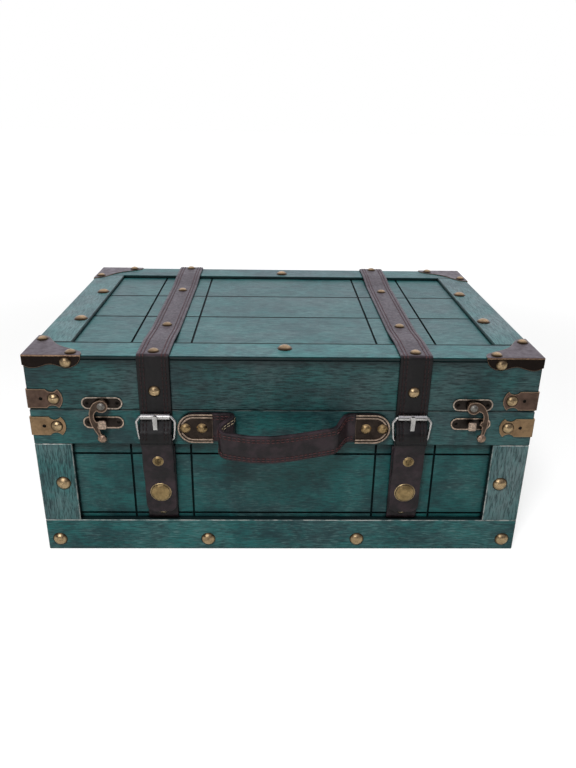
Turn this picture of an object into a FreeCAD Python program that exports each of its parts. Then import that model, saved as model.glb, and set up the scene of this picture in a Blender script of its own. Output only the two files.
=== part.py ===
import FreeCAD, Part
import math
import os

from FreeCAD import Matrix, Placement, Rotation, Vector

# A small suitcase-style storage trunk, in millimetres. The origin is the middle of the underside,
# +X runs along the length to the right, the front faces -Y and +Z is up.

# Overall sizes
LENGTH = 406.0
DEPTH = 280.0
BASE_HEIGHT = 134.4
LID_HEIGHT = 45.7
LID_GAP = 0.4

# Boards
PANEL_THICK = 6.0
TRIM_THICK = 5.5
BOTTOM_THICK = 6.0
TOP_RAIL_HEIGHT = 31.0
BOTTOM_RAIL_HEIGHT = 30.0
STILE_WIDTH = 30.0
TOP_FRAME_THICK = 3.0
TOP_FRAME_WIDTH = 32.0
TOP_STILE_WIDTH = 29.5
PLANK_THICK = 6.0
PLANK_SEAM_FRONT_Y = 30.0
PLANK_SEAM_REAR_Y = 38.0
EDGE_EASE = 0.6

# Grooves scored in the panels and planks
GROOVE_WIDTH = 1.8
GROOVE_DEPTH = 1.5
GROOVE_INNER_SHARE = 0.3783
GROOVE_OUTER_SHARE = 0.6217
GROOVE_ABOVE_RAIL = 4.2
GROOVE_BELOW_RAIL = 11.4

# Lid hinges and the bevels that meet when the lid is fully open
HINGE_INSET = 63.0
HINGE_WIDTH = 36.0
HINGE_SETBACK = 4.5
HINGE_LEAF_REACH = 6.2
HINGE_LEAF_THICK = 1.2
HINGE_LEAF_CLEAR = 0.1
HINGE_RUN_CLEAR = 0.3
KNUCKLE_RADIUS = 2.5
PIN_RADIUS = 1.1
PIN_CLEAR = 0.06
BEVEL_ANGLE = 53.5

# Straps
STRAP_PLACE_SHARE = 0.5054
STRAP_WIDTH = 25.4
STRAP_THICK = 2.0
STRAP_BACK_LENGTH = 26.0
STRAP_DIP_START = 1.5
STRAP_DIP_RUN = 10.0
STRAP_DIP_RADIUS = 12.0
STRAP_CLEAR = 0.2
TAIL_ABOVE_RIM = 1.6
TONGUE_END_DROP = 25.9
TONGUE_BEND_DROP = 5.9
TONGUE_BEND_RADIUS = 7.0
TONGUE_FRONT_DROP = 16.4
PRONG_SLOT_LOW_DROP = 21.9
PRONG_SLOT_HIGH_DROP = 10.2

# Buckles
BUCKLE_OUT = 5.0
BUCKLE_WIRE_RADIUS = 1.15
BUCKLE_HEEL_DROP = 23.4
BUCKLE_ROLLER_DROP = 3.5
BUCKLE_BAR_HALF = 12.4
BUCKLE_SHOULDER_HALF = 15.4
BUCKLE_SHOULDER_DROP = 4.2
BUCKLE_FOOT_HALF = 13.6
BUCKLE_BEND_RADIUS = 2.0
ROLLER_RADIUS = 2.6
ROLLER_CLEAR = 0.1
PRONG_ROOT_WIDTH = 2.6
PRONG_TIP_WIDTH = 3.6
PRONG_THICK = 2.0
PRONG_EYE_WALL = 1.4
PRONG_CLEAR = 0.3
PRONG_OVERHANG = 2.6

# Press-stud tabs that hang from the buckles
TAB_END_SHARE = 0.1272
TAB_TIP_RADIUS = 7.0
TAB_FOLD_END_SHARE = 0.642
TAB_RIVET_SHARE = 0.7531
TAB_SNAP_SHARE = 0.3642
TAB_SNAP_OUT = 1.5
TAB_BEND_RADIUS = 9.0
TAB_WAIST_SHARE = 0.5
TAB_SETTLE_MARGIN = 1.5
RIVET_HEAD_RADIUS = 4.6
RIVET_HEAD_HEIGHT = 1.6
RIVET_DISH_RADIUS = 3.0
RIVET_DISH_DEPTH = 0.5
RIVET_SHANK_RADIUS = 1.5
RIVET_BACK_RADIUS = 3.4
RIVET_BACK_THICK = 0.7
SNAP_CAP_RADIUS = 8.8
SNAP_CAP_HEIGHT = 2.4
SNAP_RIM_WIDTH = 1.1
SNAP_GROOVE_RADIUS = 0.4
SNAP_NECK_RADIUS = 3.0
SNAP_SOCKET_RADIUS = 5.6
SNAP_STUD_RADIUS = 2.3
SNAP_STUD_CLEAR = 0.3
SNAP_FLANGE_RADIUS = 5.0
SNAP_FLANGE_THICK = 0.7
BASE_STRAP_TOP_GAP = 2.4
BASE_STRAP_TACK_RISE = 9.5

# Sheet-metal corner caps and edge brackets
SHEET = 0.8
SHEET_BEND_RADIUS = 0.7
CAP_LEG = 45.0
CAP_DEPTH = 10.0
CAP_TOP_SHARES = [(1.0, 0.0), (0.955, 0.16), (0.79, 0.285), (0.49, 0.49),
                  (0.285, 0.79), (0.16, 0.955), (0.0, 1.0)]
CAP_FLANGE_SHARES = [(1.0, 0.0), (0.93, 0.66), (0.74, 0.98), (0.48, 0.69), (0.22, 0.98), (0.0, 0.78)]
CAP_TACK_ALONG = 36.0
CAP_TACK_INSET = 5.4
CAP_FLANGE_TACK_ALONG = 33.0
CAP_TACK_DROP = 5.2
BRACKET_REACH = 27.5
BRACKET_HEIGHT = 16.2
BRACKET_SCOOP_SHARES = (0.53, 0.71, 0.87)
BRACKET_SCOOP_DEPTH_SHARE = 0.15
BRACKET_TACK_ALONG = 20.4
BRACKET_NAIL_ALONG = 10.4
LID_BRACKET_RISE = 1.3
BASE_BRACKET_DROP = 6.2
BACK_BRACKET_CLEAR = 2.0

# Dome-headed tacks and small nails
TACK_RADIUS = 6.2
TACK_HEIGHT = 3.0
SMALL_TACK_RADIUS = 4.9
SMALL_TACK_HEIGHT = 2.4
NAIL_RADIUS = 1.5
NAIL_HEIGHT = 0.7
FRAME_TACK_INSET = 19.5
SIDE_TACK_INSET = 22.0
SIDE_TACK_FRONT_Y = 47.5
SIDE_TACK_REAR_Y = 40.5
STILE_TACK_SHARE = 0.4955
BOTTOM_TACK_Z = 10.6
BOTTOM_TACK_INNER_SHARE = 0.3187
BOTTOM_TACK_INSET = 10.4
STRAP_TACK_EDGE_INSET = 6.0
STRAP_TACK_FRONT_Y = 60.0
STRAP_TACK_REAR_Y = 52.7
STRAP_TACK_DROP = 28.8

# Hook latches
LATCH_LEFT_SHARE = 0.4578
LATCH_RIGHT_SHARE = 0.5727
LATCH_RISE = 6.2
PIVOT_DROP = 1.2
CATCH_DROP = 10.7
LATCH_PLATE_LENGTH = 32.4
LATCH_PLATE_WIDTH = 10.4
LATCH_PLATE_THICK = 1.0
LATCH_RIM_WIDTH = 0.9
LATCH_WELL_DEPTH = 0.35
LATCH_NAIL_ALONG = 12.0
LATCH_BOSS_RADIUS = 4.2
LATCH_BOSS_HEIGHT = 2.4
PIVOT_RADIUS = 1.6
PIVOT_CLEAR = 0.08
PIVOT_HEAD_RADIUS = 3.0
PIVOT_HEAD_HEIGHT = 1.3
HOOK_LENGTH = 28.5
HOOK_THICK = 1.5
HOOK_CLEAR = 0.2
HOOK_RING_RADIUS = 5.2
HOOK_TIP_RADIUS = 3.6
HOOK_TIP_DOME = 1.6
HOOK_SPUR_CLEAR = 0.35
HOOK_REST_SWING = 16.0
HOOK_OUTER_SHARES = [(-0.03, 0.165), (0.17, 0.125), (0.315, -0.09), (0.35, -0.32),
                     (0.31, -0.56), (0.21, -0.77), (0.115, -0.95)]
HOOK_INNER_SHARES = [(-0.02, -0.95), (0.085, -0.79), (0.135, -0.6), (0.19, -0.43),
                     (0.222, -0.33), (0.19, -0.2), (0.06, -0.12)]
HOOK_SPUR_SHARES = (0.14, 0.09)
HOOK_TIP_SHARE = 0.048
POST_NECK_RADIUS = 1.6
POST_HEAD_WIDTH = 6.4
POST_HEAD_HEIGHT = 7.4
POST_HEAD_THICK = 1.5
POST_HEAD_ROUND = 1.5
POST_HEAD_EASE = 0.4

# Handle
HANDLE_DROP = 14.0
HANDLE_WIDTH = 25.0
HANDLE_THICK = 3.2
HANDLE_SPLIT_RADIUS = 15.4
HANDLE_SPLIT_GAP = 0.4
HANDLE_DROOP = 9.0
HANDLE_NECK_SHARE = -0.592
HANDLE_FOLD_SHARE = -0.992
HANDLE_BOW_SHARE = -0.3133
HANDLE_SHOULDER_SHARE = 0.7015
HANDLE_FOOT_SHARE = 0.879
HANDLE_FOLD_REACH = 22.5
HANDLE_BOW_REACH = 35.2
HANDLE_SHOULDER_REACH = 19.4
HANDLE_NECK_RADIUS = 4.5
HANDLE_FOLD_RADIUS = 7.0
HANDLE_BOW_BEND_SHARE = 0.62
HANDLE_SHOULDER_RADIUS = 9.0
HANDLE_FOOT_RADIUS = 8.0
HANDLE_END_RADIUS = 12.0
HANDLE_END_MARGIN = 0.8
HANDLE_PLATE_GAP = 0.6
HANDLE_PLATE_LENGTH = 28.0
HANDLE_PLATE_WIDTH = 25.6
HANDLE_PLATE_THICK = 1.0
HANDLE_RIDGE_WIDTH = 1.2
HANDLE_RIDGE_GAP = 1.2
HANDLE_RIDGE_HEIGHT = 0.9
HANDLE_RIVET_RADIUS = 4.3
HANDLE_RIVET_HEIGHT = 2.2
HANDLE_RIVET_CLEAR = 0.15
HANDLE_RIVET_INNER_ALONG = 8.6
HANDLE_RIVET_OUTER_ALONG = 22.2

# How far a cutting shape runs past the surface it cuts
OVERRUN = 1.0

# Two points closer than this count as one
SAME_PLACE = 0.01

# Places worked out from the sizes above
HALF_LENGTH = LENGTH / 2
HALF_DEPTH = DEPTH / 2
WALL = PANEL_THICK + TRIM_THICK
LID_BOTTOM = BASE_HEIGHT + LID_GAP
HEIGHT = LID_BOTTOM + LID_HEIGHT
PLANK_TOP = HEIGHT - TOP_FRAME_THICK
GROOVE_TOP_Z = BASE_HEIGHT - TOP_RAIL_HEIGHT
GROOVE_INNER_X = GROOVE_INNER_SHARE * HALF_LENGTH
GROOVE_OUTER_X = GROOVE_OUTER_SHARE * HALF_LENGTH
GROOVE_LOW_Z = BOTTOM_RAIL_HEIGHT + GROOVE_ABOVE_RAIL
GROOVE_HIGH_Z = GROOVE_TOP_Z - GROOVE_BELOW_RAIL
PANEL_VIEW_HALF = HALF_LENGTH - STILE_WIDTH
HINGE_X = HALF_LENGTH - HINGE_INSET
HINGE_Y = HALF_DEPTH - HINGE_SETBACK
HINGE_Z = BASE_HEIGHT + LID_GAP / 2
BEVEL_RISE = HINGE_SETBACK * math.tan(math.radians(BEVEL_ANGLE))
LID_BRACKET_FRONT_Z = LID_BOTTOM + LID_BRACKET_RISE
LID_BRACKET_BACK_Z = LID_BOTTOM + BEVEL_RISE + BACK_BRACKET_CLEAR
BASE_BRACKET_FRONT_Z = BASE_HEIGHT - BASE_BRACKET_DROP - BRACKET_HEIGHT
BASE_BRACKET_BACK_Z = BASE_HEIGHT - BEVEL_RISE - BACK_BRACKET_CLEAR - BRACKET_HEIGHT
STRAP_X = STRAP_PLACE_SHARE * HALF_LENGTH
TONGUE_END_Z = BASE_HEIGHT - TONGUE_END_DROP
TONGUE_BEND_Z = BASE_HEIGHT - TONGUE_BEND_DROP
TONGUE_FRONT_Z = BASE_HEIGHT - TONGUE_FRONT_DROP
PRONG_SLOT_LOW_Z = BASE_HEIGHT - PRONG_SLOT_LOW_DROP
PRONG_SLOT_HIGH_Z = BASE_HEIGHT - PRONG_SLOT_HIGH_DROP
BUCKLE_HEEL_Z = BASE_HEIGHT - BUCKLE_HEEL_DROP
BUCKLE_ROLLER_Z = BASE_HEIGHT - BUCKLE_ROLLER_DROP
BUCKLE_HALF = BUCKLE_SHOULDER_HALF + BUCKLE_WIRE_RADIUS
TAB_RUN = BUCKLE_HEEL_Z - BOTTOM_RAIL_HEIGHT
TAB_END_Z = BOTTOM_RAIL_HEIGHT + TAB_END_SHARE * TAB_RUN
TAB_FOLD_END_Z = BOTTOM_RAIL_HEIGHT + TAB_FOLD_END_SHARE * TAB_RUN
TAB_RIVET_Z = BOTTOM_RAIL_HEIGHT + TAB_RIVET_SHARE * TAB_RUN
TAB_SNAP_Z = BOTTOM_RAIL_HEIGHT + TAB_SNAP_SHARE * TAB_RUN
BASE_STRAP_TACK_Z = BOTTOM_RAIL_HEIGHT + BASE_STRAP_TACK_RISE
STILE_TACK_Z = STILE_TACK_SHARE * BASE_HEIGHT
BOTTOM_TACK_INNER_X = BOTTOM_TACK_INNER_SHARE * HALF_LENGTH
BUCKLE_LEAN = math.degrees(math.atan2(BUCKLE_SHOULDER_DROP, BUCKLE_SHOULDER_HALF - BUCKLE_BAR_HALF))
TAIL_TOP_Z = LID_BOTTOM + TAIL_ABOVE_RIM
LATCH_SPACE_START = STRAP_X + BUCKLE_HALF
LATCH_SPACE = HALF_LENGTH - BRACKET_REACH - LATCH_SPACE_START
LATCH_LEFT_X = -LATCH_SPACE_START - LATCH_LEFT_SHARE * LATCH_SPACE
LATCH_RIGHT_X = LATCH_SPACE_START + LATCH_RIGHT_SHARE * LATCH_SPACE
LATCH_Z = BASE_HEIGHT + LATCH_RISE
PIVOT_Z = LATCH_Z - PIVOT_DROP
CATCH_Z = BASE_HEIGHT - CATCH_DROP
HOOK_OUT = LATCH_PLATE_THICK + LATCH_BOSS_HEIGHT + HOOK_CLEAR
TAB_LOOP_RADIUS = BUCKLE_WIRE_RADIUS + STRAP_CLEAR + STRAP_THICK / 2
TAB_BACK_OUT = BUCKLE_OUT - TAB_LOOP_RADIUS
TAB_FRONT_OUT = BUCKLE_OUT + TAB_LOOP_RADIUS
BASE_STRAP_OUT = STRAP_THICK - TRIM_THICK
HANDLE_Z = BASE_HEIGHT - HANDLE_DROP
HANDLE_PLATE_OUTER_X = STRAP_X - BUCKLE_HALF - HANDLE_PLATE_GAP
HANDLE_PLATE_INNER_X = HANDLE_PLATE_OUTER_X - HANDLE_PLATE_LENGTH
HANDLE_NECK_X = HANDLE_NECK_SHARE * HANDLE_PLATE_INNER_X
HANDLE_FOLD_X = HANDLE_FOLD_SHARE * HANDLE_PLATE_INNER_X
HANDLE_BOW_X = HANDLE_BOW_SHARE * HANDLE_PLATE_INNER_X
HANDLE_SHOULDER_X = HANDLE_SHOULDER_SHARE * HANDLE_PLATE_INNER_X
HANDLE_FOOT_X = HANDLE_FOOT_SHARE * HANDLE_PLATE_INNER_X
HANDLE_RIVET_INNER_X = HANDLE_PLATE_INNER_X + HANDLE_RIVET_INNER_ALONG
HANDLE_RIVET_OUTER_X = HANDLE_PLATE_INNER_X + HANDLE_RIVET_OUTER_ALONG
HANDLE_END_X = HANDLE_PLATE_OUTER_X - HANDLE_END_MARGIN
UP = Vector(0, 0, 1)
FRONT = Vector(0, -1, 0)
BACK = Vector(0, 1, 0)


# Shared shape helpers

def box(x0, x1, y0, y1, z0, z1):
    return Part.makeBox(x1 - x0, y1 - y0, z1 - z0, Vector(x0, y0, z0))


def board(x0, x1, y0, y1, z0, z1):
    """A plank of wood with its edges eased."""
    blank = box(x0, x1, y0, y1, z0, z1)
    return blank.makeChamfer(EDGE_EASE, blank.Edges)


def mirror_x(shape):
    return shape.mirror(Vector(0, 0, 0), Vector(1, 0, 0))


def mirror_y(shape):
    return shape.mirror(Vector(0, 0, 0), Vector(0, 1, 0))


def closed_face(edges):
    return Part.Face(Part.Wire(Part.__sortEdges__([edge.toShape() for edge in edges])))


def spline(points):
    curve = Part.BSplineCurve()
    curve.interpolate(points)
    return curve


def ball_radius(radius, height):
    """The radius of the ball that a round head of this size is cut from."""
    return (radius ** 2 + height ** 2) / (2 * height)


def dome_level(radius, height, distance):
    """How high a round head's surface is at this distance from its axis."""
    ball = ball_radius(radius, height)
    return height - ball + math.sqrt(ball ** 2 - distance ** 2)


def dome(radius, height):
    """A flat-bottomed round head that stands on the XY plane."""
    ball = ball_radius(radius, height)
    half_angle = math.asin(radius / ball) / 2
    crown = Vector(ball * math.sin(half_angle), 0, height - ball + ball * math.cos(half_angle))
    rim = Vector(radius, 0, 0)
    top = Vector(0, 0, height)
    foot = Vector(0, 0, 0)
    edges = [Part.LineSegment(foot, rim), Part.Arc(rim, crown, top), Part.LineSegment(top, foot)]
    return closed_face(edges).revolve(foot, UP, 360)


def round_off(shape, corners, reach, radius):
    """A shape with the edges rounded whose middles lie within reach of these corners."""
    edges = [edge for edge in shape.Edges for corner in corners if edge.CenterOfMass.isEqual(corner, reach)]
    return shape.makeFillet(radius, edges)


def stand(shape, place, normal):
    """A shape made on the XY plane, set down at a place with its axis along the normal."""
    placed = shape.copy()
    placed.Placement = Placement(place, Rotation(UP, normal))
    return placed


def side_profile(face, x, width):
    """A profile drawn as (outward from the front face, height), given a width centred on x."""
    solid = face.extrude(Vector(0, 0, width))
    across = Matrix(0, 0, -1, x + width / 2, -1, 0, 0, -HALF_DEPTH, 0, 1, 0, 0, 0, 0, 0, 1)
    solid.Placement = Placement(across)
    return solid


def left_of(direction):
    return Vector(-direction.y, direction.x, 0)


def path_side(points, radii, shift):
    """The edges of a path with rounded corners, moved to its left by the shift."""
    headings = [(end - start).normalize() for start, end in zip(points, points[1:])]
    here = points[0] + left_of(headings[0]) * shift
    first = here
    edges = []
    for corner, radius, a, b in zip(points[1:], radii, headings, headings[1:]):
        turn = math.atan2(a.x * b.y - a.y * b.x, a.dot(b))
        hand = math.copysign(1, turn)
        reach = radius * math.tan(abs(turn) / 2)
        begin = corner - a * reach
        centre = begin + left_of(a) * (hand * radius)
        middle = centre + (corner - centre).normalize() * (radius - hand * shift)
        finish = corner + b * reach + left_of(b) * shift
        begin = begin + left_of(a) * shift
        if not here.isEqual(begin, SAME_PLACE):
            edges.append(Part.LineSegment(here, begin))
        edges.append(Part.Arc(begin, middle, finish))
        here = finish
    last = points[-1] + left_of(headings[-1]) * shift
    edges.append(Part.LineSegment(here, last))
    return edges, first, last


def ribbon(points, radii, thickness):
    """The edge-on outline of a strip that follows a path with rounded corners."""
    flat = [Vector(u, v, 0) for u, v in points]
    left, left_first, left_last = path_side(flat, radii, thickness / 2)
    right, right_first, right_last = path_side(flat, radii, -thickness / 2)
    ends = [Part.LineSegment(left_first, right_first), Part.LineSegment(left_last, right_last)]
    return closed_face(left + right + ends)


def bend_radius(before, corner, after, share):
    """The radius of a bend that takes up this share of the shorter of its two sides."""
    a = Vector(corner[0] - before[0], corner[1] - before[1], 0)
    b = Vector(after[0] - corner[0], after[1] - corner[1], 0)
    return share * min(a.Length, b.Length) / math.tan(a.getAngle(b) / 2)


def bar_along_x(x0, x1, y, z, radius):
    return Part.makeCylinder(radius, x1 - x0, Vector(x0, y, z), Vector(1, 0, 0))


def both_sides(shape):
    return Part.makeCompound([shape, mirror_x(shape)])


# Base boards

def grooved_panel(side):
    """The front panel (side -1) or back panel (side 1), with its scored grooves on the outside."""
    face_y = side * (HALF_DEPTH - TRIM_THICK)
    inner_y = side * (HALF_DEPTH - WALL)
    y0, y1 = sorted((face_y, inner_y))
    half = HALF_LENGTH - TRIM_THICK
    panel = box(-half, half, y0, y1, 0, BASE_HEIGHT)
    cut_y0, cut_y1 = sorted((face_y + side * OVERRUN, face_y - side * GROOVE_DEPTH))
    for x in (GROOVE_INNER_X, GROOVE_OUTER_X):
        for centre in (-x, x):
            x0 = centre - GROOVE_WIDTH / 2
            panel = panel.cut(box(x0, x0 + GROOVE_WIDTH, cut_y0, cut_y1, BOTTOM_RAIL_HEIGHT, GROOVE_TOP_Z))
    for z in (GROOVE_LOW_Z, GROOVE_HIGH_Z):
        z0 = z - GROOVE_WIDTH / 2
        panel = panel.cut(box(-PANEL_VIEW_HALF, PANEL_VIEW_HALF, cut_y0, cut_y1, z0, z0 + GROOVE_WIDTH))
    return panel


def left_panel():
    half = HALF_DEPTH - WALL
    face_x = -HALF_LENGTH + TRIM_THICK
    panel = box(face_x, face_x + PANEL_THICK, -half, half, 0, BASE_HEIGHT)
    view_half = HALF_DEPTH - STILE_WIDTH
    for z in (GROOVE_LOW_Z, GROOVE_HIGH_Z):
        z0 = z - GROOVE_WIDTH / 2
        slot = box(face_x - OVERRUN, face_x + GROOVE_DEPTH, -view_half, view_half, z0, z0 + GROOVE_WIDTH)
        panel = panel.cut(slot)
    return panel


def bottom_board():
    half_x = HALF_LENGTH - WALL
    half_y = HALF_DEPTH - WALL
    return box(-half_x, half_x, -half_y, half_y, 0, BOTTOM_THICK)


def front_rail(z0, z1):
    return board(-HALF_LENGTH, HALF_LENGTH, -HALF_DEPTH, -HALF_DEPTH + TRIM_THICK, z0, z1)


def front_left_stile():
    x1 = -HALF_LENGTH + STILE_WIDTH
    y1 = -HALF_DEPTH + TRIM_THICK
    return board(-HALF_LENGTH, x1, -HALF_DEPTH, y1, BOTTOM_RAIL_HEIGHT, BASE_HEIGHT - TOP_RAIL_HEIGHT)


def side_trim(y0, y1, z0, z1):
    return board(-HALF_LENGTH, -HALF_LENGTH + TRIM_THICK, y0, y1, z0, z1)


def left_frame():
    """Two rails and two stiles on the left end, between the front and back trim."""
    outer = HALF_DEPTH - TRIM_THICK
    inner = HALF_DEPTH - STILE_WIDTH
    top_z = BASE_HEIGHT - TOP_RAIL_HEIGHT
    low = side_trim(-outer, outer, 0, BOTTOM_RAIL_HEIGHT)
    high = side_trim(-outer, outer, top_z, BASE_HEIGHT)
    stile = side_trim(-outer, -inner, BOTTOM_RAIL_HEIGHT, top_z)
    return Part.makeCompound([low, high, stile, mirror_y(stile)])


def hinge_bevel(rise):
    """The wedge taken off a back edge, above the rim for a positive rise and below it for a negative."""
    edge_z = LID_BOTTOM if rise > 0 else BASE_HEIGHT
    slope = rise / HINGE_SETBACK
    far = HALF_DEPTH + OVERRUN
    corners = [Vector(0, HINGE_Y, edge_z), Vector(0, far, edge_z + slope * (far - HINGE_Y)),
               Vector(0, far, edge_z)]
    wedge = Part.Face(Part.makePolygon(corners + corners[:1]))
    overlong = HALF_LENGTH + OVERRUN
    solid = wedge.extrude(Vector(2 * overlong, 0, 0))
    solid.translate(Vector(-overlong, 0, 0))
    return solid


def hinge_pockets():
    """Room for both hinges: a mortise for the two leaves and a round channel for the knuckles."""
    half = HINGE_WIDTH / 2 + HINGE_RUN_CLEAR
    depth = HINGE_LEAF_CLEAR + HINGE_LEAF_THICK
    pocket = box(HINGE_X - half, HINGE_X + half, HINGE_Y - HINGE_LEAF_REACH, HINGE_Y,
                 HINGE_Z - depth, HINGE_Z + depth)
    channel = bar_along_x(HINGE_X - half, HINGE_X + half, HINGE_Y, HINGE_Z, KNUCKLE_RADIUS + HINGE_RUN_CLEAR)
    return both_sides(pocket.fuse(channel))


def back_top_rail():
    z0 = BASE_HEIGHT - TOP_RAIL_HEIGHT
    rail = board(-HALF_LENGTH, HALF_LENGTH, HALF_DEPTH - TRIM_THICK, HALF_DEPTH, z0, BASE_HEIGHT)
    return rail.cut(hinge_bevel(-BEVEL_RISE)).cut(hinge_pockets())


def base_boards():
    top_z = BASE_HEIGHT - TOP_RAIL_HEIGHT
    stile = front_left_stile()
    bottom_rail = front_rail(0, BOTTOM_RAIL_HEIGHT)
    return {
        "base_front_panel": grooved_panel(-1),
        "base_back_panel": grooved_panel(1).cut(hinge_pockets()),
        "base_left_panel": left_panel(),
        "base_right_panel": mirror_x(left_panel()),
        "base_bottom_board": bottom_board(),
        "base_front_top_rail": front_rail(top_z, BASE_HEIGHT),
        "base_front_bottom_rail": bottom_rail,
        "base_front_left_stile": stile,
        "base_front_right_stile": mirror_x(stile),
        "base_back_top_rail": back_top_rail(),
        "base_back_lower_frame": mirror_y(Part.makeCompound([bottom_rail, stile, mirror_x(stile)])),
        "base_left_frame": left_frame(),
        "base_right_frame": mirror_x(left_frame()),
    }


# Lid boards

def lid_front_board():
    return board(-HALF_LENGTH, HALF_LENGTH, -HALF_DEPTH, -HALF_DEPTH + WALL, LID_BOTTOM, PLANK_TOP)


def lid_left_board():
    half = HALF_DEPTH - WALL
    return board(-HALF_LENGTH, -HALF_LENGTH + WALL, -half, half, LID_BOTTOM, PLANK_TOP)


def lid_plank(y0, y1):
    half = HALF_LENGTH - WALL
    plank = board(-half, half, y0, y1, PLANK_TOP - PLANK_THICK, PLANK_TOP)
    for x in (GROOVE_INNER_X, GROOVE_OUTER_X):
        for centre in (-x, x):
            x0 = centre - GROOVE_WIDTH / 2
            plank = plank.cut(box(x0, x0 + GROOVE_WIDTH, y0 - OVERRUN, y1 + OVERRUN,
                                  PLANK_TOP - GROOVE_DEPTH, PLANK_TOP + OVERRUN))
    return plank


def lid_boards():
    edge = HALF_DEPTH - WALL
    frame_y = HALF_DEPTH - TOP_FRAME_WIDTH
    rail = board(-HALF_LENGTH, HALF_LENGTH, -HALF_DEPTH, -frame_y, PLANK_TOP, HEIGHT)
    stile = board(-HALF_LENGTH, -HALF_LENGTH + TOP_STILE_WIDTH, -frame_y, frame_y, PLANK_TOP, HEIGHT)
    back = mirror_y(lid_front_board()).cut(hinge_bevel(BEVEL_RISE)).cut(hinge_pockets())
    return {
        "lid_front_board": lid_front_board(),
        "lid_back_board": back,
        "lid_left_board": lid_left_board(),
        "lid_right_board": mirror_x(lid_left_board()),
        "lid_plank_front": lid_plank(-edge, -PLANK_SEAM_FRONT_Y),
        "lid_plank_middle": lid_plank(-PLANK_SEAM_FRONT_Y, PLANK_SEAM_REAR_Y),
        "lid_plank_back": lid_plank(PLANK_SEAM_REAR_Y, edge),
        "lid_top_front_rail": rail,
        "lid_top_back_rail": mirror_y(rail),
        "lid_top_left_stile": stile,
        "lid_top_right_stile": mirror_x(stile),
    }


# Butt hinges let into the back edges

def hinge_leaf(side):
    """The base leaf (side -1, outer knuckles) or lid leaf (side 1, middle knuckle) at the right hinge."""
    third = HINGE_WIDTH / 3
    x0 = HINGE_X - HINGE_WIDTH / 2
    z0, z1 = sorted((HINGE_Z + side * HINGE_LEAF_CLEAR, HINGE_Z + side * (HINGE_LEAF_CLEAR + HINGE_LEAF_THICK)))
    leaf = box(x0, x0 + HINGE_WIDTH, HINGE_Y - HINGE_LEAF_REACH, HINGE_Y, z0, z1)
    own = (1,) if side > 0 else (0, 2)
    for step in range(3):
        start = x0 + third * step
        if step in own:
            leaf = leaf.fuse(bar_along_x(start, start + third, HINGE_Y, HINGE_Z, KNUCKLE_RADIUS))
    for step in range(3):
        start = x0 + third * step - HINGE_RUN_CLEAR / 2
        if step not in own:
            end = start + third + HINGE_RUN_CLEAR
            room = KNUCKLE_RADIUS + HINGE_RUN_CLEAR
            leaf = leaf.cut(bar_along_x(start, end, HINGE_Y, HINGE_Z, room))
    bore = bar_along_x(x0 - OVERRUN, x0 + HINGE_WIDTH + OVERRUN, HINGE_Y, HINGE_Z, PIN_RADIUS + PIN_CLEAR)
    return leaf.cut(bore)


def hinges():
    x0 = HINGE_X - HINGE_WIDTH / 2
    pin = bar_along_x(x0, x0 + HINGE_WIDTH, HINGE_Y, HINGE_Z, PIN_RADIUS)
    return {
        "hinge_base_leaves": both_sides(hinge_leaf(-1)),
        "hinge_lid_leaves": both_sides(hinge_leaf(1)),
        "hinge_pins": both_sides(pin),
    }


# Corner caps and edge brackets

def cap_plate(shares, along, across):
    """A cap's flat outline in its own (u, v) plane, with the corner at the sheet's outer faces."""
    curve = [Vector(u * along, v * across, 0) for u, v in shares]
    corner = Vector(-SHEET, -SHEET, 0)
    run_end = Vector(curve[0].x, -SHEET, 0)
    rise_end = Vector(-SHEET, curve[-1].y, 0)
    edges = [Part.LineSegment(corner, run_end), Part.LineSegment(run_end, curve[0]), spline(curve),
             Part.LineSegment(curve[-1], rise_end), Part.LineSegment(rise_end, corner)]
    return closed_face(edges).extrude(Vector(0, 0, SHEET))


def corner_cap():
    """The front left cap: a triangular top plate and two wavy flanges bent down over the edges."""
    top = cap_plate(CAP_TOP_SHARES, CAP_LEG, CAP_LEG)
    top.translate(Vector(-HALF_LENGTH, -HALF_DEPTH, HEIGHT))
    flange = cap_plate(CAP_FLANGE_SHARES, CAP_LEG, CAP_DEPTH)
    front = flange.copy()
    front.Placement = Placement(Matrix(1, 0, 0, -HALF_LENGTH, 0, 0, 1, -HALF_DEPTH - SHEET, 0, -1, 0, HEIGHT))
    side = flange.copy()
    side.Placement = Placement(Matrix(0, 0, -1, -HALF_LENGTH, 1, 0, 0, -HALF_DEPTH, 0, -1, 0, HEIGHT))
    cap = top.fuse([front, side]).removeSplitter()
    corner = Vector(-HALF_LENGTH - SHEET, -HALF_DEPTH - SHEET, HEIGHT + SHEET)
    folds = [edge for edge in cap.Edges if any(end.Point.isEqual(corner, SAME_PLACE) for end in edge.Vertexes)]
    return cap.makeFillet(SHEET_BEND_RADIUS, folds)


def bracket_leg():
    """A band from the corner, with two scoops that leave a spade-shaped end, on the (u, v) plane."""
    near, deep, far = (share * BRACKET_REACH for share in BRACKET_SCOOP_SHARES)
    scoop = BRACKET_SCOOP_DEPTH_SHARE * BRACKET_HEIGHT
    top = BRACKET_HEIGHT
    edges = [Part.LineSegment(Vector(-SHEET, 0, 0), Vector(near, 0, 0)),
             Part.Arc(Vector(near, 0, 0), Vector(deep, scoop, 0), Vector(far, 0, 0)),
             Part.Arc(Vector(far, 0, 0), Vector(BRACKET_REACH, top / 2, 0), Vector(far, top, 0)),
             Part.Arc(Vector(far, top, 0), Vector(deep, top - scoop, 0), Vector(near, top, 0)),
             Part.LineSegment(Vector(near, top, 0), Vector(-SHEET, top, 0)),
             Part.LineSegment(Vector(-SHEET, top, 0), Vector(-SHEET, 0, 0))]
    return closed_face(edges).extrude(Vector(0, 0, SHEET))


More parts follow.
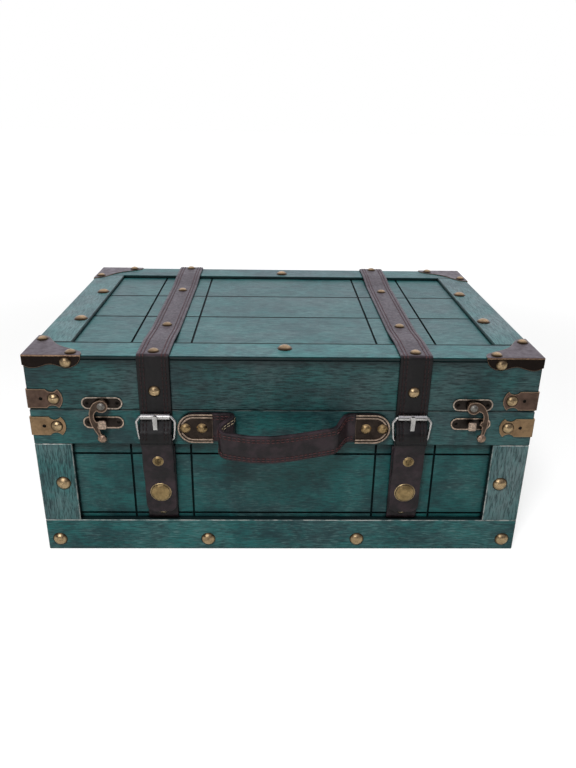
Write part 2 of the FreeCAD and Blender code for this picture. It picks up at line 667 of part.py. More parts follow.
def edge_bracket(z0):
    """The front left bracket with its lower edge at z0, bent round the upright corner."""
    front = bracket_leg()
    front.Placement = Placement(Matrix(1, 0, 0, -HALF_LENGTH, 0, 0, -1, -HALF_DEPTH, 0, 1, 0, z0))
    side = bracket_leg()
    side.Placement = Placement(Matrix(0, 0, 1, -HALF_LENGTH - SHEET, 1, 0, 0, -HALF_DEPTH, 0, 1, 0, z0))
    bent = front.fuse(side).removeSplitter()
    corner = Vector(-HALF_LENGTH - SHEET, -HALF_DEPTH - SHEET, z0 + BRACKET_HEIGHT / 2)
    return round_off(bent, [corner], SHEET / 2, SHEET_BEND_RADIUS)


def bracket_set(front_z, back_z):
    front = both_sides(edge_bracket(front_z))
    back = mirror_y(both_sides(edge_bracket(back_z)))
    return Part.makeCompound(front.Solids + back.Solids)


def corner_metal():
    caps = both_sides(corner_cap())
    return {
        "lid_corner_caps": Part.makeCompound(caps.Solids + mirror_y(caps).Solids),
        "lid_edge_brackets": bracket_set(LID_BRACKET_FRONT_Z, LID_BRACKET_BACK_Z),
        "base_edge_brackets": bracket_set(BASE_BRACKET_FRONT_Z, BASE_BRACKET_BACK_Z),
    }


# Tacks and nails

def bracket_fixings(front_z, back_z, along, size):
    """Heads on both legs of the four brackets that stand at these heights."""
    head = dome(*size)
    heads = []
    for side, z in ((-1, front_z), (1, back_z)):
        middle = z + BRACKET_HEIGHT / 2
        on_face = Vector(HALF_LENGTH - along, side * (HALF_DEPTH + SHEET), middle)
        on_end = Vector(HALF_LENGTH + SHEET, side * (HALF_DEPTH - along), middle)
        heads.append(stand(head, on_face, Vector(0, side, 0)))
        heads.append(stand(head, on_end, Vector(1, 0, 0)))
    return both_sides(Part.makeCompound(heads)).Solids


def lid_frame_tacks():
    head = dome(TACK_RADIUS, TACK_HEIGHT)
    x = HALF_LENGTH - SIDE_TACK_INSET
    y = HALF_DEPTH - FRAME_TACK_INSET
    spots = [(0, -y), (0, y)]
    spots += [(side * x, along) for side in (-1, 1) for along in (-SIDE_TACK_FRONT_Y, SIDE_TACK_REAR_Y)]
    return [stand(head, Vector(px, py, HEIGHT), UP) for px, py in spots]


def cap_tacks():
    """Two tacks on each cap's top plate and one on each of its flanges."""
    head = dome(SMALL_TACK_RADIUS, SMALL_TACK_HEIGHT)
    along_x = HALF_LENGTH - CAP_TACK_ALONG
    along_y = HALF_DEPTH - CAP_TACK_ALONG
    flange_x = HALF_LENGTH - CAP_FLANGE_TACK_ALONG
    flange_y = HALF_DEPTH - CAP_FLANGE_TACK_ALONG
    top = HEIGHT + SHEET
    heads = [stand(head, Vector(along_x, HALF_DEPTH - CAP_TACK_INSET, top), UP),
             stand(head, Vector(HALF_LENGTH - CAP_TACK_INSET, along_y, top), UP),
             stand(head, Vector(flange_x, HALF_DEPTH + SHEET, HEIGHT - CAP_TACK_DROP), BACK),
             stand(head, Vector(HALF_LENGTH + SHEET, flange_y, HEIGHT - CAP_TACK_DROP), Vector(1, 0, 0))]
    back = both_sides(Part.makeCompound(heads))
    return back.Solids + mirror_y(back).Solids


def lid_strap_tacks():
    head = dome(SMALL_TACK_RADIUS, SMALL_TACK_HEIGHT)
    edge = HALF_DEPTH - STRAP_TACK_EDGE_INSET
    high = HEIGHT + STRAP_THICK
    low = PLANK_TOP + STRAP_THICK
    spots = [(-edge, high), (-STRAP_TACK_FRONT_Y, low), (STRAP_TACK_REAR_Y, low), (edge, high)]
    heads = [stand(head, Vector(STRAP_X, y, z), UP) for y, z in spots]
    drop_z = HEIGHT - STRAP_TACK_DROP
    end_z = HEIGHT - STRAP_BACK_LENGTH / 2
    heads.append(stand(head, Vector(STRAP_X, -HALF_DEPTH - STRAP_THICK, drop_z), FRONT))
    heads.append(stand(head, Vector(STRAP_X, HALF_DEPTH + STRAP_THICK, end_z), BACK))
    return both_sides(Part.makeCompound(heads)).Solids


def base_frame_tacks():
    head = dome(TACK_RADIUS, TACK_HEIGHT)
    stile_x = HALF_LENGTH - FRAME_TACK_INSET
    rail_x = HALF_LENGTH - BOTTOM_TACK_INSET
    spots = [(stile_x, STILE_TACK_Z), (BOTTOM_TACK_INNER_X, BOTTOM_TACK_Z), (rail_x, BOTTOM_TACK_Z)]
    back = [stand(head, Vector(x, HALF_DEPTH, z), BACK) for x, z in spots]
    end_spots = [(HALF_DEPTH - FRAME_TACK_INSET, STILE_TACK_Z), (HALF_DEPTH - FRAME_TACK_INSET, BOTTOM_TACK_Z)]
    back += [stand(head, Vector(HALF_LENGTH, y, z), Vector(1, 0, 0)) for y, z in end_spots]
    both = both_sides(Part.makeCompound(back))
    return both.Solids + mirror_y(both).Solids


def base_strap_tacks():
    head = dome(SMALL_TACK_RADIUS, SMALL_TACK_HEIGHT)
    place = Vector(STRAP_X, -HALF_DEPTH - BASE_STRAP_OUT, BASE_STRAP_TACK_Z)
    return both_sides(stand(head, place, FRONT)).Solids


def plate_nails(z):
    """Two nails through each of the two latch plates, or the two catch plates, at this height."""
    head = dome(NAIL_RADIUS, NAIL_HEIGHT)
    y = -HALF_DEPTH - LATCH_PLATE_THICK + LATCH_WELL_DEPTH
    return [stand(head, Vector(x + step, y, z), FRONT)
            for x in (LATCH_LEFT_X, LATCH_RIGHT_X) for step in (-LATCH_NAIL_ALONG, LATCH_NAIL_ALONG)]


def fixings():
    small = (SMALL_TACK_RADIUS, SMALL_TACK_HEIGHT)
    nail = (NAIL_RADIUS, NAIL_HEIGHT)
    lid_z = (LID_BRACKET_FRONT_Z, LID_BRACKET_BACK_Z)
    base_z = (BASE_BRACKET_FRONT_Z, BASE_BRACKET_BACK_Z)
    lid = lid_frame_tacks() + lid_strap_tacks() + cap_tacks()
    lid += bracket_fixings(*lid_z, BRACKET_TACK_ALONG, small)
    base = base_frame_tacks() + base_strap_tacks() + bracket_fixings(*base_z, BRACKET_TACK_ALONG, small)
    lid_nails = plate_nails(LATCH_Z) + bracket_fixings(*lid_z, BRACKET_NAIL_ALONG, nail)
    base_nails = plate_nails(CATCH_Z) + bracket_fixings(*base_z, BRACKET_NAIL_ALONG, nail)
    return {
        "lid_tacks": Part.makeCompound(lid),
        "base_tacks": Part.makeCompound(base),
        "lid_nails": Part.makeCompound(lid_nails),
        "base_nails": Part.makeCompound(base_nails),
    }


# Straps, on the right-hand side and mirrored for the left

def lid_strap():
    """The strap that is nailed over the lid: up its front, down onto the planks, up again and down its back."""
    half = STRAP_THICK / 2
    back_out = -DEPTH - half
    high = HEIGHT + half
    low = PLANK_TOP + half
    brink = TOP_FRAME_WIDTH + STRAP_DIP_START
    settled = brink + STRAP_DIP_RUN
    path = [(half, TAIL_TOP_Z), (half, high), (-brink, high), (-settled, low), (settled - DEPTH, low),
            (brink - DEPTH, high), (back_out, high), (back_out, HEIGHT - STRAP_BACK_LENGTH)]
    corner = EDGE_EASE + half
    dip = STRAP_DIP_RADIUS
    return side_profile(ribbon(path, [corner, dip, dip, dip, dip, corner], STRAP_THICK), STRAP_X, STRAP_WIDTH)


def strap_tongue():
    """The free end of the lid strap: behind the roller, over the heel bar, with a slot for the prong."""
    near = STRAP_THICK / 2
    far = TAB_FRONT_OUT + STRAP_THICK + STRAP_CLEAR
    path = [(near, TAIL_TOP_Z), (near, TONGUE_BEND_Z), (far, TONGUE_FRONT_Z), (far, TONGUE_END_Z)]
    radii = [TONGUE_BEND_RADIUS, TONGUE_BEND_RADIUS]
    tongue = side_profile(ribbon(path, radii, STRAP_THICK), STRAP_X, STRAP_WIDTH)
    half_slot = PRONG_TIP_WIDTH / 2 + PRONG_CLEAR
    slot = box(STRAP_X - half_slot, STRAP_X + half_slot, -HALF_DEPTH - far - STRAP_WIDTH, -HALF_DEPTH,
               PRONG_SLOT_LOW_Z, PRONG_SLOT_HIGH_Z)
    return tongue.cut(slot)


def strap_tab():
    """The press-stud tab: folded round the heel bar, riveted to itself and rounded at its tip."""
    loop_top = BUCKLE_HEEL_Z + TAB_LOOP_RADIUS
    paired = TAB_BACK_OUT + STRAP_THICK + STRAP_CLEAR
    lean_z = BUCKLE_HEEL_Z - TAB_LOOP_RADIUS - STRAP_THICK / 2
    waist = TAB_RIVET_Z + (lean_z - TAB_RIVET_Z) * TAB_WAIST_SHARE
    settle = TAB_SNAP_Z + SNAP_CAP_RADIUS + TAB_SETTLE_MARGIN
    path = [(TAB_BACK_OUT, TAB_FOLD_END_Z), (TAB_BACK_OUT, loop_top), (TAB_FRONT_OUT, loop_top),
            (TAB_FRONT_OUT, lean_z), (paired, waist), (paired, TAB_FOLD_END_Z),
            (TAB_SNAP_OUT, settle), (TAB_SNAP_OUT, TAB_END_Z)]
    bend = TAB_BEND_RADIUS
    radii = [TAB_LOOP_RADIUS, TAB_LOOP_RADIUS, bend, bend, bend, bend]
    tab = side_profile(ribbon(path, radii, STRAP_THICK), STRAP_X, STRAP_WIDTH)
    tab = tab.cut(tab_trimming())
    for z, radius in ((TAB_RIVET_Z, RIVET_SHANK_RADIUS), (TAB_SNAP_Z, SNAP_NECK_RADIUS)):
        hole = Part.makeCylinder(radius, STRAP_WIDTH, Vector(STRAP_X, -HALF_DEPTH + TRIM_THICK, z), FRONT)
        tab = tab.cut(hole)
    tip = [Vector(STRAP_X + side * STRAP_WIDTH / 2, -HALF_DEPTH - TAB_SNAP_OUT, TAB_END_Z) for side in (-1, 1)]
    return round_off(tab, tip, STRAP_THICK / 2, TAB_TIP_RADIUS)


def tab_trimming():
    """What comes off the fold: a middle slot for the prong's eye and side notches for the buckle's feet."""
    y0 = -HALF_DEPTH - BUCKLE_OUT - STRAP_WIDTH / 2
    y1 = y0 + STRAP_WIDTH
    z0 = BUCKLE_HEEL_Z - TAB_LOOP_RADIUS - STRAP_THICK
    z1 = BUCKLE_HEEL_Z + TAB_LOOP_RADIUS + STRAP_THICK
    half_slot = PRONG_ROOT_WIDTH / 2 + PRONG_CLEAR
    slot = box(STRAP_X - half_slot, STRAP_X + half_slot, y0, y1, z0, z1)
    fold_half = BUCKLE_FOOT_HALF - BUCKLE_BEND_RADIUS - BUCKLE_WIRE_RADIUS
    right = box(STRAP_X + fold_half, STRAP_X + STRAP_WIDTH, y0, y1, z0, z1)
    left = box(STRAP_X - STRAP_WIDTH, STRAP_X - fold_half, y0, y1, z0, z1)
    return slot.fuse([right, left])


def base_strap():
    half = STRAP_WIDTH / 2
    face_y = -HALF_DEPTH + TRIM_THICK
    z1 = BASE_HEIGHT - TOP_RAIL_HEIGHT - BASE_STRAP_TOP_GAP
    return box(STRAP_X - half, STRAP_X + half, face_y - STRAP_THICK, face_y, BOTTOM_RAIL_HEIGHT, z1)


def turned(profile, out, z):
    """A turned piece from a (radius, outward) outline, pointing out of the front at the strap."""
    corners = [Vector(r, 0, h) for r, h in profile]
    edges = [Part.LineSegment(a, b) for a, b in zip(corners, corners[1:] + corners[:1])]
    solid = closed_face(edges).revolve(Vector(0, 0, 0), UP, 360)
    return stand(solid, Vector(STRAP_X, -HALF_DEPTH - out, z), FRONT)


def dished_head():
    """A rivet's round head with a hollow in its middle."""
    level = dome_level(RIVET_HEAD_RADIUS, RIVET_HEAD_HEIGHT, RIVET_DISH_RADIUS)
    hollow = dome(RIVET_DISH_RADIUS, RIVET_DISH_DEPTH).mirror(Vector(0, 0, 0), UP)
    hollow = hollow.fuse(Part.makeCylinder(RIVET_DISH_RADIUS, RIVET_HEAD_HEIGHT))
    hollow.translate(Vector(0, 0, level))
    return dome(RIVET_HEAD_RADIUS, RIVET_HEAD_HEIGHT).cut(hollow)


def tab_rivet():
    paired = TAB_BACK_OUT + STRAP_THICK + STRAP_CLEAR
    front = paired + STRAP_THICK / 2
    back = TAB_BACK_OUT - STRAP_THICK / 2
    shank = front - back
    spool = turned([(0, 0), (RIVET_SHANK_RADIUS, 0), (RIVET_SHANK_RADIUS, -shank), (RIVET_BACK_RADIUS, -shank),
                    (RIVET_BACK_RADIUS, -shank - RIVET_BACK_THICK), (0, -shank - RIVET_BACK_THICK)],
                   front, TAB_RIVET_Z)
    head = stand(dished_head(), Vector(STRAP_X, -HALF_DEPTH - front, TAB_RIVET_Z), FRONT)
    return spool.fuse(head)


def rimmed_cap():
    """The press stud's round cap with a fine groove that sets off its rim."""
    groove_at = SNAP_CAP_RADIUS - SNAP_RIM_WIDTH
    level = dome_level(SNAP_CAP_RADIUS, SNAP_CAP_HEIGHT, groove_at)
    groove = Part.makeTorus(groove_at, SNAP_GROOVE_RADIUS, Vector(0, 0, level), UP)
    return dome(SNAP_CAP_RADIUS, SNAP_CAP_HEIGHT).cut(groove)


def snap_cap():
    """The press stud's cap in front of the tab, its neck and the hollow socket behind."""
    front = TAB_SNAP_OUT + STRAP_THICK / 2
    mouth = front - BASE_STRAP_OUT - SNAP_STUD_CLEAR
    bore = SNAP_STUD_RADIUS + SNAP_STUD_CLEAR
    roof = STRAP_THICK / 2
    socket = turned([(0, 0), (SNAP_NECK_RADIUS, 0), (SNAP_NECK_RADIUS, -STRAP_THICK),
                     (SNAP_SOCKET_RADIUS, -STRAP_THICK), (SNAP_SOCKET_RADIUS, SNAP_FLANGE_THICK - mouth),
                     (bore, SNAP_FLANGE_THICK - mouth), (bore, -roof), (0, -roof)], front, TAB_SNAP_Z)
    cap = stand(rimmed_cap(), Vector(STRAP_X, -HALF_DEPTH - front, TAB_SNAP_Z), FRONT)
    return socket.fuse(cap)


def snap_stud():
    """The stud that stays on the base strap and fills the socket."""
    height = TAB_SNAP_OUT - SNAP_STUD_CLEAR - BASE_STRAP_OUT
    return turned([(0, 0), (SNAP_FLANGE_RADIUS, 0), (SNAP_FLANGE_RADIUS, SNAP_FLANGE_THICK),
                   (SNAP_STUD_RADIUS, SNAP_FLANGE_THICK), (SNAP_STUD_RADIUS, height), (0, height)],
                  BASE_STRAP_OUT, TAB_SNAP_Z)


# Roller buckles

def buckle_frame():
    """A bent wire loop: narrow under the roller, wide at the shoulders and drawn in to the heel bar."""
    shoulder_z = BUCKLE_ROLLER_Z - BUCKLE_SHOULDER_DROP
    corners = [(0, BUCKLE_ROLLER_Z), (BUCKLE_BAR_HALF, BUCKLE_ROLLER_Z), (BUCKLE_SHOULDER_HALF, shoulder_z),
               (BUCKLE_FOOT_HALF, BUCKLE_HEEL_Z), (0, BUCKLE_HEEL_Z)]
    flat = [Vector(u, v, 0) for u, v in corners]
    edges, first, last = path_side(flat, [BUCKLE_BEND_RADIUS] * (len(flat) - 2), 0)
    path = Part.Wire(Part.__sortEdges__([edge.toShape() for edge in edges]))
    circle = Part.Wire(Part.Circle(first, Vector(1, 0, 0), BUCKLE_WIRE_RADIUS).toShape())
    half = path.makePipeShell([circle], True, False)
    loop = half.fuse(half.mirror(Vector(0, 0, 0), Vector(1, 0, 0))).removeSplitter()
    loop.Placement = Placement(Matrix(1, 0, 0, STRAP_X, 0, 0, -1, -HALF_DEPTH - BUCKLE_OUT, 0, 1, 0, 0))
    return loop


def buckle_roller():
    half = BUCKLE_BAR_HALF - BUCKLE_BEND_RADIUS * math.tan(math.radians(BUCKLE_LEAN) / 2)
    y = -HALF_DEPTH - BUCKLE_OUT
    tube = bar_along_x(STRAP_X - half, STRAP_X + half, y, BUCKLE_ROLLER_Z, ROLLER_RADIUS)
    bore = BUCKLE_WIRE_RADIUS + ROLLER_CLEAR
    return tube.cut(bar_along_x(STRAP_X - half - OVERRUN, STRAP_X + half + OVERRUN, y, BUCKLE_ROLLER_Z, bore))


def prong_taper(depth):
    """The room in which the prong's arm lies: narrow at its eye, wider and round at its tip."""
    root, tip = PRONG_ROOT_WIDTH / 2, PRONG_TIP_WIDTH / 2
    high = BUCKLE_ROLLER_Z + PRONG_OVERHANG
    turn_z = high - tip
    edges = [Part.LineSegment(Vector(-root, BUCKLE_HEEL_Z, 0), Vector(root, BUCKLE_HEEL_Z, 0)),
             Part.LineSegment(Vector(root, BUCKLE_HEEL_Z, 0), Vector(tip, turn_z, 0)),
             Part.Arc(Vector(tip, turn_z, 0), Vector(0, high, 0), Vector(-tip, turn_z, 0)),
             Part.LineSegment(Vector(-tip, turn_z, 0), Vector(-root, BUCKLE_HEEL_Z, 0))]
    room = closed_face(edges).extrude(Vector(0, 0, depth))
    room.Placement = Placement(Matrix(1, 0, 0, STRAP_X, 0, 0, -1, -HALF_DEPTH, 0, 1, 0, 0))
    return room


def buckle_prong():
    """The prong: an eye round the heel bar and a flat tongue that rests on the roller."""
    inner = BUCKLE_WIRE_RADIUS + ROLLER_CLEAR
    outer = inner + PRONG_EYE_WALL
    rest_out = BUCKLE_OUT + ROLLER_RADIUS + PRONG_CLEAR + PRONG_THICK / 2
    path = [(BUCKLE_OUT + outer - PRONG_THICK / 2, BUCKLE_HEEL_Z), (rest_out, BUCKLE_ROLLER_Z + PRONG_OVERHANG)]
    blank = side_profile(ribbon(path, [], PRONG_THICK), STRAP_X, PRONG_TIP_WIDTH)
    arm = blank.common(prong_taper(rest_out + PRONG_THICK))
    y = -HALF_DEPTH - BUCKLE_OUT
    x0 = STRAP_X - PRONG_ROOT_WIDTH / 2
    x1 = STRAP_X + PRONG_ROOT_WIDTH / 2
    eye = bar_along_x(x0, x1, y, BUCKLE_HEEL_Z, outer)
    bore = bar_along_x(x0 - OVERRUN, x1 + OVERRUN, y, BUCKLE_HEEL_Z, inner)
    return arm.fuse(eye).cut(bore)


def straps_and_buckles():
    right = {
        "lid_strap": lid_strap(),
        "strap_tongue": strap_tongue(),
        "strap_tab": strap_tab(),
        "base_strap": base_strap(),
        "tab_studs": Part.makeCompound([tab_rivet(), snap_cap()]),
        "buckle_frame": buckle_frame(),
        "buckle_roller": buckle_roller(),
        "buckle_prong": buckle_prong(),
    }
    nodes = {name + "_right": shape for name, shape in right.items()}
    nodes.update({name + "_left": mirror_x(shape) for name, shape in right.items()})
    nodes["snap_studs"] = both_sides(snap_stud())
    return nodes


# Hook latches

def stadium(inset):
    """A latch plate's outline with round ends, drawn in by the inset, on the (u, v) plane."""
    end = LATCH_PLATE_WIDTH / 2 - inset
    run = (LATCH_PLATE_LENGTH - LATCH_PLATE_WIDTH) / 2
    edges = [Part.LineSegment(Vector(-run, -end, 0), Vector(run, -end, 0)),
             Part.Arc(Vector(run, -end, 0), Vector(run + end, 0, 0), Vector(run, end, 0)),
             Part.LineSegment(Vector(run, end, 0), Vector(-run, end, 0)),
             Part.Arc(Vector(-run, end, 0), Vector(-run - end, 0, 0), Vector(-run, -end, 0))]
    return closed_face(edges)


def pressed_plate(x, z):
    """A plate with a raised rim, lying on the front face with its middle at (x, z)."""
    well = stadium(LATCH_RIM_WIDTH).extrude(Vector(0, 0, LATCH_PLATE_THICK))
    well.translate(Vector(0, 0, LATCH_PLATE_THICK - LATCH_WELL_DEPTH))
    plate = stadium(0).extrude(Vector(0, 0, LATCH_PLATE_THICK)).cut(well)
    plate.Placement = Placement(Matrix(1, 0, 0, x, 0, 0, -1, -HALF_DEPTH, 0, 1, 0, z))
    return plate


def latch_plate(x):
    """The lid's plate with the boss that carries the hook, bored for the pivot."""
    boss_top = LATCH_PLATE_THICK + LATCH_BOSS_HEIGHT
    foot = Vector(x, -HALF_DEPTH, PIVOT_Z)
    boss = Part.makeCylinder(LATCH_BOSS_RADIUS, boss_top, foot, FRONT)
    bore = Part.makeCylinder(PIVOT_RADIUS + PIVOT_CLEAR, boss_top + OVERRUN, foot, FRONT)
    return pressed_plate(x, LATCH_Z).fuse(boss).cut(bore)


def latch_pivot(x):
    """The rivet that the hook turns on."""
    shank = HOOK_OUT + HOOK_THICK + HOOK_CLEAR
    rod = Part.makeCylinder(PIVOT_RADIUS, shank, Vector(x, -HALF_DEPTH, PIVOT_Z), FRONT)
    head = stand(dome(PIVOT_HEAD_RADIUS, PIVOT_HEAD_HEIGHT), Vector(x, -HALF_DEPTH - shank, PIVOT_Z), FRONT)
    return rod.fuse(head)


def post_head(x, head_out):
    """The square head of the catch's post, with round corners and an eased front."""
    half_x, half_z = POST_HEAD_WIDTH / 2, POST_HEAD_HEIGHT / 2
    back = -HALF_DEPTH - head_out
    front = back - POST_HEAD_THICK
    head = box(x - half_x, x + half_x, front, back, CATCH_Z - half_z, CATCH_Z + half_z)
    middle = (front + back) / 2
    corners = [Vector(x + a * half_x, middle, CATCH_Z + b * half_z) for a in (-1, 1) for b in (-1, 1)]
    head = round_off(head, corners, SAME_PLACE, POST_HEAD_ROUND)
    rim = [edge for edge in head.Edges if abs(edge.CenterOfMass.y - front) < SAME_PLACE]
    return head.makeChamfer(POST_HEAD_EASE, rim)


def catch_plate(x):
    """The base's plate with a necked post whose head keeps the hook in."""
    head_out = HOOK_OUT + HOOK_THICK + HOOK_CLEAR
    neck = Part.makeCylinder(POST_NECK_RADIUS, head_out, Vector(x, -HALF_DEPTH, CATCH_Z), FRONT)
    return pressed_plate(x, CATCH_Z).fuse([neck, post_head(x, head_out)])


def hook_arm():
    """The crescent between the ring and the tip, with the spur that reaches for the post."""
    outer = [Vector(u * HOOK_LENGTH, v * HOOK_LENGTH, 0) for u, v in HOOK_OUTER_SHARES]
    inner = [Vector(u * HOOK_LENGTH, v * HOOK_LENGTH, 0) for u, v in HOOK_INNER_SHARES]
    edges = [spline(outer), Part.LineSegment(outer[-1], inner[0]), spline(inner),
             Part.LineSegment(inner[-1], outer[0])]
    arm = closed_face(edges).extrude(Vector(0, 0, HOOK_THICK))
    root, half = (share * HOOK_LENGTH for share in HOOK_SPUR_SHARES)
    post_v = CATCH_Z - PIVOT_Z
    point = Vector(POST_NECK_RADIUS + HOOK_SPUR_CLEAR, post_v, 0)
    corners = [point, Vector(root, post_v + half, 0), Vector(root + half, post_v, 0), Vector(root, post_v - half, 0)]
    spur = Part.Face(Part.makePolygon(corners + corners[:1])).extrude(Vector(0, 0, HOOK_THICK))
    return arm.fuse(spur)


def latch_hook(x, swing):
    """A hook for the right-hand latch, swung outwards from its closed position by the angle given."""
    ring = Part.makeCylinder(HOOK_RING_RADIUS, HOOK_THICK)
    tip_place = Vector(HOOK_LENGTH * HOOK_TIP_SHARE, -HOOK_LENGTH, 0)
    tip = Part.makeCylinder(HOOK_TIP_RADIUS, HOOK_THICK, tip_place)
    knob = dome(HOOK_TIP_RADIUS, HOOK_TIP_DOME)
    knob.translate(tip_place + Vector(0, 0, HOOK_THICK))
    flat = hook_arm().fuse([ring, tip, knob])
    flat = flat.cut(Part.makeCylinder(PIVOT_RADIUS + PIVOT_CLEAR, HOOK_THICK)).removeSplitter()
    flat.rotate(Vector(0, 0, 0), UP, swing)
    face = Placement(Matrix(1, 0, 0, x, 0, 0, -1, -HALF_DEPTH - HOOK_OUT, 0, 1, 0, PIVOT_Z))
    flat.Placement = face.multiply(flat.Placement)
    return flat


def latches():
    spots = (LATCH_LEFT_X, LATCH_RIGHT_X)
    return {
        "latch_plates": Part.makeCompound([latch_plate(x) for x in spots]),
        "latch_pivots": Part.makeCompound([latch_pivot(x) for x in spots]),
        "catch_plates": Part.makeCompound([catch_plate(x) for x in spots]),
        "latch_hook_left": mirror_x(latch_hook(-LATCH_LEFT_X, 0)),
        "latch_hook_right": latch_hook(LATCH_RIGHT_X, HOOK_REST_SWING),
    }


# Handle

def handle_strip():
    """The whole leather strip: flat round ends under the plates and a bow that is folded back on the left."""
    out = HANDLE_THICK / 2
    neck, fold = (HANDLE_NECK_X, out), (HANDLE_FOLD_X, HANDLE_FOLD_REACH)
    bow, shoulder = (HANDLE_BOW_X, HANDLE_BOW_REACH), (HANDLE_SHOULDER_X, HANDLE_SHOULDER_REACH)
    path = [(-HANDLE_END_X, out), neck, fold, bow, shoulder, (HANDLE_FOOT_X, out), (HANDLE_END_X, out)]
    radii = [HANDLE_NECK_RADIUS, HANDLE_FOLD_RADIUS, bend_radius(fold, bow, shoulder, HANDLE_BOW_BEND_SHARE),
             HANDLE_SHOULDER_RADIUS, HANDLE_FOOT_RADIUS]
    strip = ribbon(path, radii, HANDLE_THICK).extrude(Vector(0, 0, HANDLE_WIDTH))
    strip = strip.mirror(Vector(0, 0, 0), Vector(0, 1, 0))
    strip.translate(Vector(0, -HALF_DEPTH, HANDLE_Z - HANDLE_WIDTH / 2))
    corners = [Vector(a * HANDLE_END_X, -HALF_DEPTH - out, HANDLE_Z + b * HANDLE_WIDTH / 2)
               for a in (-1, 1) for b in (-1, 1)]
    return round_off(strip, corners, SAME_PLACE, HANDLE_END_RADIUS)


def handle_turning_room(radius):
    """Everything within this radius of the line that the handle swings about."""
    return bar_along_x(-HALF_LENGTH, HALF_LENGTH, -HALF_DEPTH, HANDLE_Z, radius)


def handle_grip():
    grip = handle_strip().cut(handle_turning_room(HANDLE_SPLIT_RADIUS + HANDLE_SPLIT_GAP))
    grip.rotate(Vector(0, -HALF_DEPTH, HANDLE_Z), Vector(1, 0, 0), HANDLE_DROOP)
    return grip


def handle_outline(inset):
    """A plate's outline on the right: square inside, half round outside, its round part drawn in by the inset."""
    half = HANDLE_PLATE_WIDTH / 2 - inset
    inner = HANDLE_PLATE_INNER_X
    bend = HANDLE_PLATE_OUTER_X - HANDLE_PLATE_WIDTH / 2
    edges = [Part.LineSegment(Vector(bend, half, 0), Vector(inner, half, 0)),
             Part.LineSegment(Vector(inner, half, 0), Vector(inner, -half, 0)),
             Part.LineSegment(Vector(inner, -half, 0), Vector(bend, -half, 0)),
             Part.Arc(Vector(bend, -half, 0), Vector(bend + half, 0, 0), Vector(bend, half, 0))]
    return closed_face(edges)


def handle_ridge(inset):
    """A raised line on the plate that follows its edge at this distance and is open at the handle."""
    outline = handle_outline(inset).cut(handle_outline(inset + HANDLE_RIDGE_WIDTH))
    return outline.extrude(Vector(0, 0, HANDLE_PLATE_THICK + HANDLE_RIDGE_HEIGHT))


def handle_plate():
    """The right plate over the leather's end, with two raised lines and seats for the rivets."""
    plate = handle_outline(0).extrude(Vector(0, 0, HANDLE_PLATE_THICK))
    plate = plate.fuse([handle_ridge(0), handle_ridge(HANDLE_RIDGE_WIDTH + HANDLE_RIDGE_GAP)])
    seat = HANDLE_RIVET_RADIUS + HANDLE_RIVET_CLEAR
    for x in (HANDLE_RIVET_INNER_X, HANDLE_RIVET_OUTER_X):
        plate = plate.cut(Part.makeCylinder(seat, HANDLE_PLATE_THICK + HANDLE_RIDGE_HEIGHT,
                                            Vector(x, 0, HANDLE_PLATE_THICK)))
    plate = plate.removeSplitter()
    plate.Placement = Placement(Matrix(1, 0, 0, 0, 0, 0, -1, -HALF_DEPTH - HANDLE_THICK, 0, 1, 0, HANDLE_Z))
    return plate


def handle():
    head = dome(HANDLE_RIVET_RADIUS, HANDLE_RIVET_HEIGHT)
    y = -HALF_DEPTH - HANDLE_THICK - HANDLE_PLATE_THICK
    rivets = [stand(head, Vector(x, y, HANDLE_Z), FRONT) for x in (HANDLE_RIVET_INNER_X, HANDLE_RIVET_OUTER_X)]
    return {
        "handle_grip": handle_grip(),
        "handle_ends": handle_strip().common(handle_turning_room(HANDLE_SPLIT_RADIUS)),
        "handle_plates": both_sides(handle_plate()),
        "handle_rivets": both_sides(Part.makeCompound(rivets)),
    }


def all_nodes():
    nodes = {}
    for make in (base_boards, lid_boards, hinges, corner_metal, fixings, straps_and_buckles, latches, handle):
        nodes.update(make())
    return nodes


os.makedirs("parts", exist_ok=True)
for node, shape in all_nodes().items():
    shape.exportStep(os.path.join("parts", node + ".step"))
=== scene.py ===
import math

import bpy
from mathutils import Matrix, Vector

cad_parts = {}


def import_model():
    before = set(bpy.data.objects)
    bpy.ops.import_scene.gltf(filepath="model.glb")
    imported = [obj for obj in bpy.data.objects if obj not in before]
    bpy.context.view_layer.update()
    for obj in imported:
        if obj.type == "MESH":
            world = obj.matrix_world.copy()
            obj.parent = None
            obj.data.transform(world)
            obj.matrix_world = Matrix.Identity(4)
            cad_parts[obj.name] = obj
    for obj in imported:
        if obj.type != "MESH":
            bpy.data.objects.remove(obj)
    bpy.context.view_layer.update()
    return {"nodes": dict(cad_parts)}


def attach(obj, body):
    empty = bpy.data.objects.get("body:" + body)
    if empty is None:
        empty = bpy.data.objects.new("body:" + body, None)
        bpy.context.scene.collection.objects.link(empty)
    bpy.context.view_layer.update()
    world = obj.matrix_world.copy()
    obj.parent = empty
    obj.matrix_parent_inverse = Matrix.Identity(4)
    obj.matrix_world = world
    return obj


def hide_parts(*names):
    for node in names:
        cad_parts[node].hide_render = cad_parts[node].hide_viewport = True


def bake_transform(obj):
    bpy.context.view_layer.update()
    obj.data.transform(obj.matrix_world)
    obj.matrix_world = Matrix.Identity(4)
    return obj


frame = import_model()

NODES = frame["nodes"]

# Sizes of the trunk, in metres, in the frame of the solids
HALF_LENGTH = 0.203
HALF_DEPTH = 0.140
HEIGHT = 0.1805
PLANK_TOP = 0.1775
BOTTOM_RAIL_TOP = 0.030
TOP_RAIL_BOTTOM = 0.1034
TRIM_THICK = 0.0055
CORNER_BOARD = 0.011

